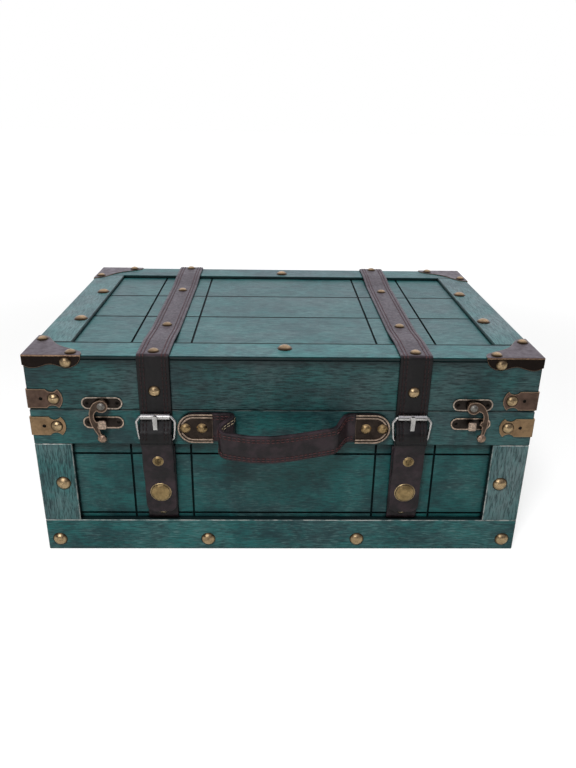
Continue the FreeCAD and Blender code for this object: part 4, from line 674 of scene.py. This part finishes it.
MATERIALS = {
    "rail": wood("wood_rail", "X", "Y", 0.58),
    "stile": wood("wood_stile", "Z", "Y", 0.82),
    "panel": wood("wood_panel", "X", "Y", 0.44, 0.85, dark_edges=0.0, level=HALF_DEPTH - TRIM_THICK),
    "end_panel": wood("wood_end_panel", "Y", "X", 0.44, 0.85, dark_edges=0.0,
                      level=HALF_LENGTH - TRIM_THICK),
    "lid_board": wood("wood_lid_board", "X", "Y", 0.78, dark_edges=0.0, overhang_shade=LID_OVERHANG_SHADE),
    "end_frame": wood("wood_end_frame", "Y", "X", 0.60, stile_grain="Z"),
    "back_frame": wood("wood_back_frame", "X", "Y", 0.60, stile_grain="Z"),
    "end_board": wood("wood_end_board", "Y", "X", 0.75, dark_edges=0.0, overhang_shade=LID_OVERHANG_SHADE),
    "plank": wood("wood_plank", "X", "Z", 0.50, 0.55, dark_edges=0.0, level=PLANK_TOP, planks=True),
    "floor_board": wood("wood_floor_board", "X", "Z", 0.60, 0.55, dark_edges=0.0),
    "top_rail": wood("wood_top_rail", "X", "Z", 0.50, 0.70, shadow_line=TOP_RAIL_SHADOW_LINE),
    "top_stile": wood("wood_top_stile", "Y", "Z", 0.50, 0.70, dark_edges=0.6),
    "leather": leather("leather_dark"),
    "thread": thread("thread_brown", THREAD_BROWN),
    "inner_thread": thread("thread_pale", THREAD_PALE),
    # The tack under the tab's tip gets a painted highlight, and the tacks on the lid's top get painted shade
    "tack": metal("brass_tack", 0.27, 0.6, 0.0, shine=(TAB_TIP_TACK,), dim=(LID_TOP,), domed=True),
    "rivet": metal("brass_rivet", 0.30, edge_share=0.0),
    "stud": metal("brass_stud", 0.30, rings=(RIVET_EYE, SNAP_GROOVE)),
    "gold_plate": metal("brass_plate", 0.38),
    "cap": metal("bronze_cap", 0.36, 0.3, 0.5, side=CAP_SIDE, shine=(CAP_BEND,)),
    "bracket": metal("bronze_bracket", 0.38, edge_reach=WIDE_EDGE),
    "nail": metal("iron_nail", 0.5),
    "latch_plate": metal("bronze_latch", 0.34, 0.6, 0.3, shine=(LATCH_RIMS,)),
    "catch_plate": metal("bronze_catch", 0.34, 0.6, 0.3, shine=(LATCH_RIMS, POST_HEADS)),
    "hook": metal("bronze_hook", 0.34, edge_share=1.0, edge_reach=WIDE_EDGE, shine=(HOOK_KNOBS,)),
    "pivot": metal("iron_pivot", 0.42),
    "handle_plate": metal("bronze_handle", 0.36, 0.6, 0.3, shine=(HANDLE_RIDGES,)),
    "nickel": metal("nickel_worn", 0.22, 0.4),
}

# What each solid is made of, with its own grain offset, greyness, lightness and worn arrises; the lightness
# holds painted shade on the lid's front board and painted light on the boards of the lid's top
BOARDS = {
    "base_front_panel": ("panel", 0.10, 0.00, 0.84, 0.0),
    "base_back_panel": ("panel", 0.75, 0.04, 1.00, 0.0),
    "base_left_panel": ("end_panel", 0.30, 0.04, 1.00, 0.0),
    "base_right_panel": ("end_panel", 0.55, 0.04, 1.00, 0.0),
    "base_bottom_board": ("floor_board", 0.90, 0.04, 1.00, 0.0),
    "base_front_top_rail": ("rail", 0.22, 0.14, 0.80, 0.1),
    "base_front_bottom_rail": ("rail", 0.35, 0.01, 1.08, 0.7),
    "base_front_left_stile": ("stile", 0.48, 0.45, 1.15, 1.0),
    "base_front_right_stile": ("stile", 0.66, 0.75, 1.18, 1.0),
    "base_back_top_rail": ("rail", 0.81, 0.06, 1.00, 0.1),
    "base_back_lower_frame": ("back_frame", 0.93, 0.15, 1.10, 0.7),
    "base_left_frame": ("end_frame", 0.15, 0.15, 1.05, 0.7),
    "base_right_frame": ("end_frame", 0.43, 0.15, 1.05, 0.7),
    "lid_front_board": ("lid_board", 0.27, 0.30, 0.64, 0.0),
    "lid_back_board": ("lid_board", 0.58, 0.20, 0.70, 0.0),
    "lid_left_board": ("end_board", 0.38, 0.06, 0.85, 0.0),
    "lid_right_board": ("end_board", 0.71, 0.06, 0.85, 0.0),
    "lid_plank_front": ("plank", 0.18, 0.05, 1.30, 0.0),
    "lid_plank_middle": ("plank", 0.51, 0.05, 1.30, 0.0),
    "lid_plank_back": ("plank", 0.87, 0.05, 1.30, 0.0),
    "lid_top_front_rail": ("top_rail", 0.64, 0.03, 1.60, 0.0),
    "lid_top_back_rail": ("top_rail", 0.33, 0.03, 1.50, 0.0),
    "lid_top_left_stile": ("top_stile", 0.78, 0.35, 1.50, 0.1),
    "lid_top_right_stile": ("top_stile", 0.25, 0.35, 1.50, 0.1),
}
METALS = {
    "tack": ("base_tacks", "lid_tacks"),
    "rivet": ("handle_rivets",),
    "stud": ("snap_studs", "tab_studs_left", "tab_studs_right"),
    "gold_plate": ("base_edge_brackets",),
    "cap": ("lid_corner_caps",),
    "bracket": ("lid_edge_brackets", "hinge_base_leaves", "hinge_lid_leaves", "hinge_pins"),
    "nail": ("lid_nails", "base_nails"),
    "latch_plate": ("latch_plates",),
    "catch_plate": ("catch_plates",),
    "hook": ("latch_hook_left", "latch_hook_right"),
    "pivot": ("latch_pivots",),
    "handle_plate": ("handle_plates",),
    "nickel": ("buckle_frame_left", "buckle_frame_right", "buckle_roller_left", "buckle_roller_right",
               "buckle_prong_left", "buckle_prong_right"),
}


def coat(thing, key):
    thing.data.materials.clear()
    thing.data.materials.append(MATERIALS[key])


def coat_solids():
    for name, (key, seed, grey, light, wear) in BOARDS.items():
        NODES[name].color = (seed, grey, light, wear)
        coat(NODES[name], key)
    for key, names in METALS.items():
        for name in names:
            coat(NODES[name], key)


# Leather strips

def rounded_path(points, radii):
    """Close points along a flat path whose corners are arcs, each with its heading."""
    flat = [Vector(p) for p in points]
    headings = [(b - a).normalized() for a, b in zip(flat, flat[1:])]
    out = []

    def run(start, end, heading):
        count = max(1, round((end - start).length / PATH_STEP))
        for step in range(count):
            out.append((start.lerp(end, step / count), heading))

    here = flat[0]
    for corner, radius, a, b in zip(flat[1:], radii, headings, headings[1:]):
        turn = math.atan2(a.x * b.y - a.y * b.x, a.dot(b))
        reach = radius * math.tan(abs(turn) / 2)
        begin = corner - a * reach
        side = Vector((-a.y, a.x)) * math.copysign(radius, turn)
        centre = begin + side
        run(here, begin, a)
        count = max(2, math.ceil(abs(turn) / ARC_STEP))
        for step in range(count):
            spin = Matrix.Rotation(turn * step / count, 2)
            out.append((centre - spin @ side, spin @ a))
        here = corner + b * reach
    run(here, flat[-1], headings[-1])
    out.append((flat[-1], headings[-1]))
    return out


def strip_section(width, thick, seams):
    """The strip's outline across its width: rounded edges, a slight crown and sunken seam lines outside."""
    half, face = width / 2, thick / 2
    inner = half - LEATHER_EDGE
    turns = [(LEATHER_EDGE * math.sin(angle), LEATHER_EDGE * (1 - math.cos(angle))) for angle in EDGE_ANGLES]
    outer = [(inner + out, face - drop) for out, drop in turns]
    for inset in seams:
        middle = half - inset
        outer += [(middle + SEAM_HALF, face), (middle, face - SEAM_DEPTH), (middle - SEAM_HALF, face)]
    outer.append((0, face + CROWN))
    left = [(-u, v) for u, v in reversed(outer[:-1])]
    under_left = [(-inner - out, drop - face) for out, drop in turns]
    under_right = [(-u, v) for u, v in reversed(under_left)]
    return outer + left + under_left[1:] + under_right[:-1]


def new_object(name, points, faces, key):
    mesh = bpy.data.meshes.new(name)
    mesh.from_pydata(points, [], faces)
    mesh.update()
    thing = bpy.data.objects.new(name, mesh)
    bpy.context.scene.collection.objects.link(thing)
    coat(thing, key)
    for face in mesh.polygons:
        face.use_smooth = True
    return thing


def sweep(name, path, section, place, shares=None):
    """A strip: the section carried along the path. place(u, v, point, heading) gives a point in the frame."""
    points, faces = [], []
    count = len(section)
    for index, (point, heading) in enumerate(path):
        share = shares[index] if shares else 1.0
        points += [place(u * share, v, point, heading) for u, v in section]
    for ring in range(len(path) - 1):
        a, b = ring * count, (ring + 1) * count
        for i in range(count):
            j = (i + 1) % count
            faces.append((a + i, a + j, b + j, b + i))
    faces.append(tuple(reversed(range(count))))
    last = (len(path) - 1) * count
    faces.append(tuple(range(last, last + count)))
    return new_object(name, points, faces, "leather")


def strap_place(x):
    """Puts a point of a strap that runs up the front and over the top, at this distance along the trunk."""
    def place(u, v, point, heading):
        side = Vector((heading.y, -heading.x))
        spot = point + side * v
        return (x + u, -HALF_DEPTH - spot.x, spot.y)
    return place


def path_lengths(path):
    lengths = [0.0]
    for (a, _), (b, _) in zip(path, path[1:]):
        lengths.append(lengths[-1] + (b - a).length)
    return lengths


def along_path(path, lengths, distance):
    """The point and the heading at a distance along the path."""
    for index in range(len(path) - 1):
        if lengths[index + 1] >= distance:
            step = max(lengths[index + 1] - lengths[index], SHORTEST_STEP)
            share = (distance - lengths[index]) / step
            point = path[index][0].lerp(path[index + 1][0], share)
            heading = path[index][1].lerp(path[index + 1][1], share).normalized()
            return point, heading
    return path[-1]


def tipped(path, width, radius, first=False):
    """The path with close steps at its last tip, and at its first too if asked.
    With it comes the strip's share of its width at each step, so that the tips' corners are round."""
    lengths = path_lengths(path)
    steps = [radius * (1 - math.cos(angle)) for angle in TIP_ANGLES]
    total = lengths[-1]
    reach = steps[-1]
    marks = [mark for mark in lengths if mark < total - reach and not (first and mark <= reach)]
    if first:
        marks = steps + marks
    marks += [total - step for step in reversed(steps)]

    def share(mark):
        distance = min(total - mark, mark) if first else total - mark
        if distance >= radius:
            return 1.0
        gap = radius - math.sqrt(max(0.0, radius ** 2 - (radius - distance) ** 2))
        return 1.0 - 2 * gap / width

    return [along_path(path, lengths, mark) for mark in marks], [share(mark) for mark in marks]


def stitches(name, path, rows, place, start, end, key="thread"):
    """Short round stitches along the path, in rows given as (across, out of the strip's middle)."""
    lengths = path_lengths(path)
    points, faces = [], []
    total = int((lengths[-1] - start - end) / STITCH_PITCH)
    for u, v in rows:
        for step in range(total):
            base = len(points)
            for along, swell in STITCH_SHARES:
                distance = start + step * STITCH_PITCH + along * STITCH_LENGTH
                spot, heading = along_path(path, lengths, distance)
                radius = STITCH_RADIUS * swell
                middle = v + math.copysign(STITCH_RADIUS * (swell - 1) * STITCH_END_SINK_SHARE, v)
                for side in range(STITCH_SIDES):
                    angle = 2 * math.pi * side / STITCH_SIDES
                    across = u + radius * math.cos(angle)
                    points.append(place(across, middle + radius * math.sin(angle), spot, heading))
            for ring in range(len(STITCH_SHARES) - 1):
                a, b = base + ring * STITCH_SIDES, base + (ring + 1) * STITCH_SIDES
                for i in range(STITCH_SIDES):
                    j = (i + 1) % STITCH_SIDES
                    faces.append((a + i, a + j, b + j, b + i))
            faces.append(tuple(reversed(range(base, base + STITCH_SIDES))))
            tail = base + (len(STITCH_SHARES) - 1) * STITCH_SIDES
            faces.append(tuple(range(tail, tail + STITCH_SIDES)))
    return new_object(name, points, faces, key)


def seam_rows(width, thick, insets):
    """Where the rows of stitches lie across a strip, and how far out of its middle."""
    height = thick / 2 - SEAM_DEPTH + STITCH_RADIUS - STITCH_SINK
    return [(side * (width / 2 - inset), height) for side in (-1, 1) for inset in insets]


def lid_strap(side, hand):
    """The strap nailed over the lid and its free tongue, in one strip that bends at the lid's lower edge."""
    half = STRAP_THICK / 2
    back = -2 * HALF_DEPTH - half
    top = HEIGHT + half
    low = PLANK_TOP + half
    far = -2 * HALF_DEPTH
    points = [(TONGUE_OUT, TONGUE_END_Z), (TONGUE_OUT, TONGUE_FRONT_Z), (half, TONGUE_BEND_Z),
              (half, top), (-STRAP_BRINK, top), (-STRAP_SETTLED, low),
              (far + STRAP_SETTLED, low), (far + STRAP_BRINK, top), (back, top),
              (back, HEIGHT - STRAP_BACK_LENGTH)]
    radii = [TONGUE_BEND, TONGUE_BEND, STRAP_BEND, STRAP_DIP, STRAP_DIP, STRAP_DIP, STRAP_DIP, STRAP_BEND]
    path = rounded_path(points, radii)
    place = strap_place(side * STRAP_X)
    section = strip_section(STRAP_WIDTH, STRAP_THICK, SEAM_INSETS)
    strap = sweep("strap_leather_" + hand, path, section, place)
    rows = seam_rows(STRAP_WIDTH, STRAP_THICK, SEAM_INSETS)
    seams = stitches("strap_stitches_" + hand, path, rows, place, STITCH_PITCH, STITCH_PITCH)
    for piece in (strap, seams):
        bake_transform(piece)
    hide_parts("lid_strap_" + hand, "strap_tongue_" + hand)


def press_tab(side, hand):
    """The tab that is folded round the buckle's heel bar and hangs to the press stud."""
    points = [(TAB_BACK_OUT, TAB_FOLD_END_Z), (TAB_BACK_OUT, TAB_HEEL_TOP_Z),
              (TAB_FRONT_OUT, TAB_HEEL_TOP_Z), (TAB_FRONT_OUT, TAB_LEAN_Z),
              (TAB_PAIRED_OUT, TAB_WAIST_Z), (TAB_PAIRED_OUT, TAB_FOLD_END_Z),
              (TAB_SNAP_OUT, TAB_SETTLE_Z), (TAB_SNAP_OUT, TAB_END_Z)]
    path = rounded_path(points, [TAB_LOOP, TAB_LOOP, TAB_BEND, TAB_BEND, TAB_BEND, TAB_BEND])
    path, shares = tipped(path, STRAP_WIDTH, TAB_TIP_RADIUS)

    def place(u, v, point, heading):
        out = Vector((-heading.y, heading.x))
        spot = point + out * v
        return (side * STRAP_X + u, -HALF_DEPTH - spot.x, spot.y)

    tab = sweep("tab_leather_" + hand, path, strip_section(STRAP_WIDTH, STRAP_THICK, ()), place, shares)
    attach(tab, "strap_tail_" + hand)
    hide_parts("strap_tab_" + hand)


def base_strap(side, hand):
    """The short strap glued to the panel under the tab."""
    out = STRAP_THICK / 2 - TRIM_THICK
    path = rounded_path([(out, BOTTOM_RAIL_TOP), (out, BASE_STRAP_TOP_Z)], [])
    strap = sweep("base_strap_leather_" + hand, path, strip_section(STRAP_WIDTH, STRAP_THICK, ()),
                  strap_place(side * STRAP_X))
    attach(strap, "base")
    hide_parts("base_strap_" + hand)


def handle():
    """The handle: one strip with its ends under the plates and a bow that leans left and droops."""
    out = HANDLE_THICK / 2
    points = [(-HANDLE_END_X, out), (HANDLE_NECK_X, out), (HANDLE_FOLD_X, HANDLE_FOLD_REACH),
              (HANDLE_BOW_X, HANDLE_BOW_REACH), (HANDLE_SHOULDER_X, HANDLE_SHOULDER_REACH),
              (HANDLE_FOOT_X, out), (HANDLE_END_X, out)]
    path = rounded_path(points, HANDLE_RADII)
    path, shares = tipped(path, HANDLE_WIDTH, HANDLE_END_RADIUS, first=True)

    def place(u, v, point, heading):
        spot = point + Vector((-heading.y, heading.x)) * v
        share = (spot.y - HANDLE_FLEX_START) / (HANDLE_FLEX_END - HANDLE_FLEX_START)
        share = min(1.0, max(0.0, share))
        droop = HANDLE_DROOP * share * share * (3 - 2 * share)
        y = spot.y * math.cos(droop) + u * math.sin(droop)
        z = u * math.cos(droop) - spot.y * math.sin(droop)
        return (spot.x, -HALF_DEPTH - y, HANDLE_Z + z)

    section = strip_section(HANDLE_WIDTH, HANDLE_THICK, HANDLE_SEAM_INSETS)
    strip = sweep("handle_leather", path, section, place, shares)
    rows = seam_rows(HANDLE_WIDTH, HANDLE_THICK, HANDLE_SEAM_INSETS)
    inner = [(u, -HANDLE_THICK / 2 - STITCH_RADIUS + INNER_STITCH_SINK) for u, _ in rows]
    margins = (HANDLE_SEAM_MARGIN, HANDLE_SEAM_MARGIN)
    seams = stitches("handle_stitches", path, rows, place, *margins)
    inner_seams = stitches("handle_inner_stitches", path, inner, place, *margins, key="inner_thread")
    for piece in (strip, seams, inner_seams):
        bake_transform(piece)
    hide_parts("handle_grip", "handle_ends")


def leather_pieces():
    for side, hand in ((-1, "left"), (1, "right")):
        lid_strap(side, hand)
        press_tab(side, hand)
        base_strap(side, hand)
    handle()


# Stage

def lamp(name, place, size, power, mirrored):
    data = bpy.data.lights.new(name, "AREA")
    data.size = size
    data.energy = power
    thing = bpy.data.objects.new(name, data)
    thing.location = place
    aim = Vector(LIGHT_TARGET) - Vector(place)
    thing.rotation_euler = aim.to_track_quat("-Z", "Y").to_euler()
    thing.visible_glossy = mirrored
    bpy.context.scene.collection.objects.link(thing)


def world():
    """Plain light from all round. Mirrorings see the white backdrop behind the trunk, a dimmer sky and a dim
    room before it."""
    scene_world = bpy.data.worlds.new("studio")
    bpy.context.scene.world = scene_world
    scene_world.use_nodes = True
    tree = scene_world.node_tree
    nodes, links = tree.nodes, tree.links
    path = nodes.new("ShaderNodeLightPath")
    direction = nodes.new("ShaderNodeSeparateXYZ")
    links.new(nodes.new("ShaderNodeTexCoord").outputs["Generated"], direction.inputs[0])
    parts = []
    for axis, (start, end), bright in (("Y", BACKDROP_RISE, MIRRORED_BACK), ("Z", SKY_RISE, MIRRORED_SKY)):
        part = nodes.new("ShaderNodeMapRange")
        links.new(direction.outputs[axis], part.inputs["Value"])
        part.inputs["From Min"].default_value = start
        part.inputs["From Max"].default_value = end
        part.inputs["To Min"].default_value = MIRRORED_FRONT
        part.inputs["To Max"].default_value = bright
        parts.append(part.outputs[0])
    room = nodes.new("ShaderNodeMath")
    room.operation = "MAXIMUM"
    links.new(parts[0], room.inputs[0])
    links.new(parts[1], room.inputs[1])
    plain = nodes["Background"]
    plain.inputs["Strength"].default_value = WORLD_LIGHT
    mirrored = nodes.new("ShaderNodeBackground")
    mirrored.inputs["Color"].default_value = MIRRORED_TINT
    links.new(room.outputs[0], mirrored.inputs["Strength"])
    shown = nodes.new("ShaderNodeBackground")
    shade = plain
    kinds = (("Is Glossy Ray", mirrored), ("Is Transmission Ray", shown), ("Is Camera Ray", shown))
    for ray, kind in kinds:
        mix = nodes.new("ShaderNodeMixShader")
        links.new(path.outputs[ray], mix.inputs[0])
        links.new(shade.outputs[0], mix.inputs[1])
        links.new(kind.outputs[0], mix.inputs[2])
        shade = mix
    for background in (plain, shown):
        background.inputs["Color"].default_value = WHITE
    links.new(shade.outputs[0], nodes["World Output"].inputs["Surface"])


def floor():
    """A pale floor that shines white to the camera far out and keeps the trunk's shadow near it."""
    half = FLOOR_HALF
    corners = [(-half, -half, 0), (half, -half, 0), (half, half, 0), (-half, half, 0)]
    mesh = bpy.data.meshes.new("floor")
    mesh.from_pydata(corners, [], [tuple(range(len(corners)))])
    thing = bpy.data.objects.new("floor", mesh)
    bpy.context.scene.collection.objects.link(thing)
    g = Graph("floor_white")
    away = g.add("ShaderNodeVectorMath", operation="LENGTH")
    g.feed(away.inputs[0], g.place)
    glow = g.ramp(away.outputs["Value"], *FLOOR_GLOW_REACH, *FLOOR_GLOW)
    seen = g.add("ShaderNodeLightPath").outputs["Is Camera Ray"]
    g.set("Base Color", FLOOR_TONE)
    g.set("Roughness", FLOOR_ROUGHNESS)
    g.set("Specular IOR Level", 0.0)
    g.set("Emission Color", WHITE)
    g.set("Emission Strength", g.math("MULTIPLY", seen, glow))
    mesh.materials.append(g.material)


def camera():
    data = bpy.data.cameras.new("camera")
    data.lens = CAMERA_LENS
    data.sensor_width = CAMERA_SENSOR
    thing = bpy.data.objects.new("camera", data)
    right = Vector(CAMERA_RIGHT).normalized()
    forward = Vector(CAMERA_FORWARD).normalized()
    up = right.cross(forward)
    turn = Matrix((right, up, -forward)).transposed()
    thing.matrix_world = Matrix.Translation(Vector(CAMERA_PLACE)) @ turn.to_4x4()
    bpy.context.scene.collection.objects.link(thing)
    bpy.context.scene.camera = thing


coat_solids()
leather_pieces()
world()
floor()
lamp("key", KEY_PLACE, KEY_SIZE, KEY_POWER, mirrored=False)
lamp("front", FRONT_PLACE, FRONT_SIZE, FRONT_POWER, mirrored=True)
lamp("back", BACK_PLACE, BACK_SIZE, BACK_POWER, mirrored=False)
camera()
bpy.context.scene.view_settings.view_transform = "Standard"
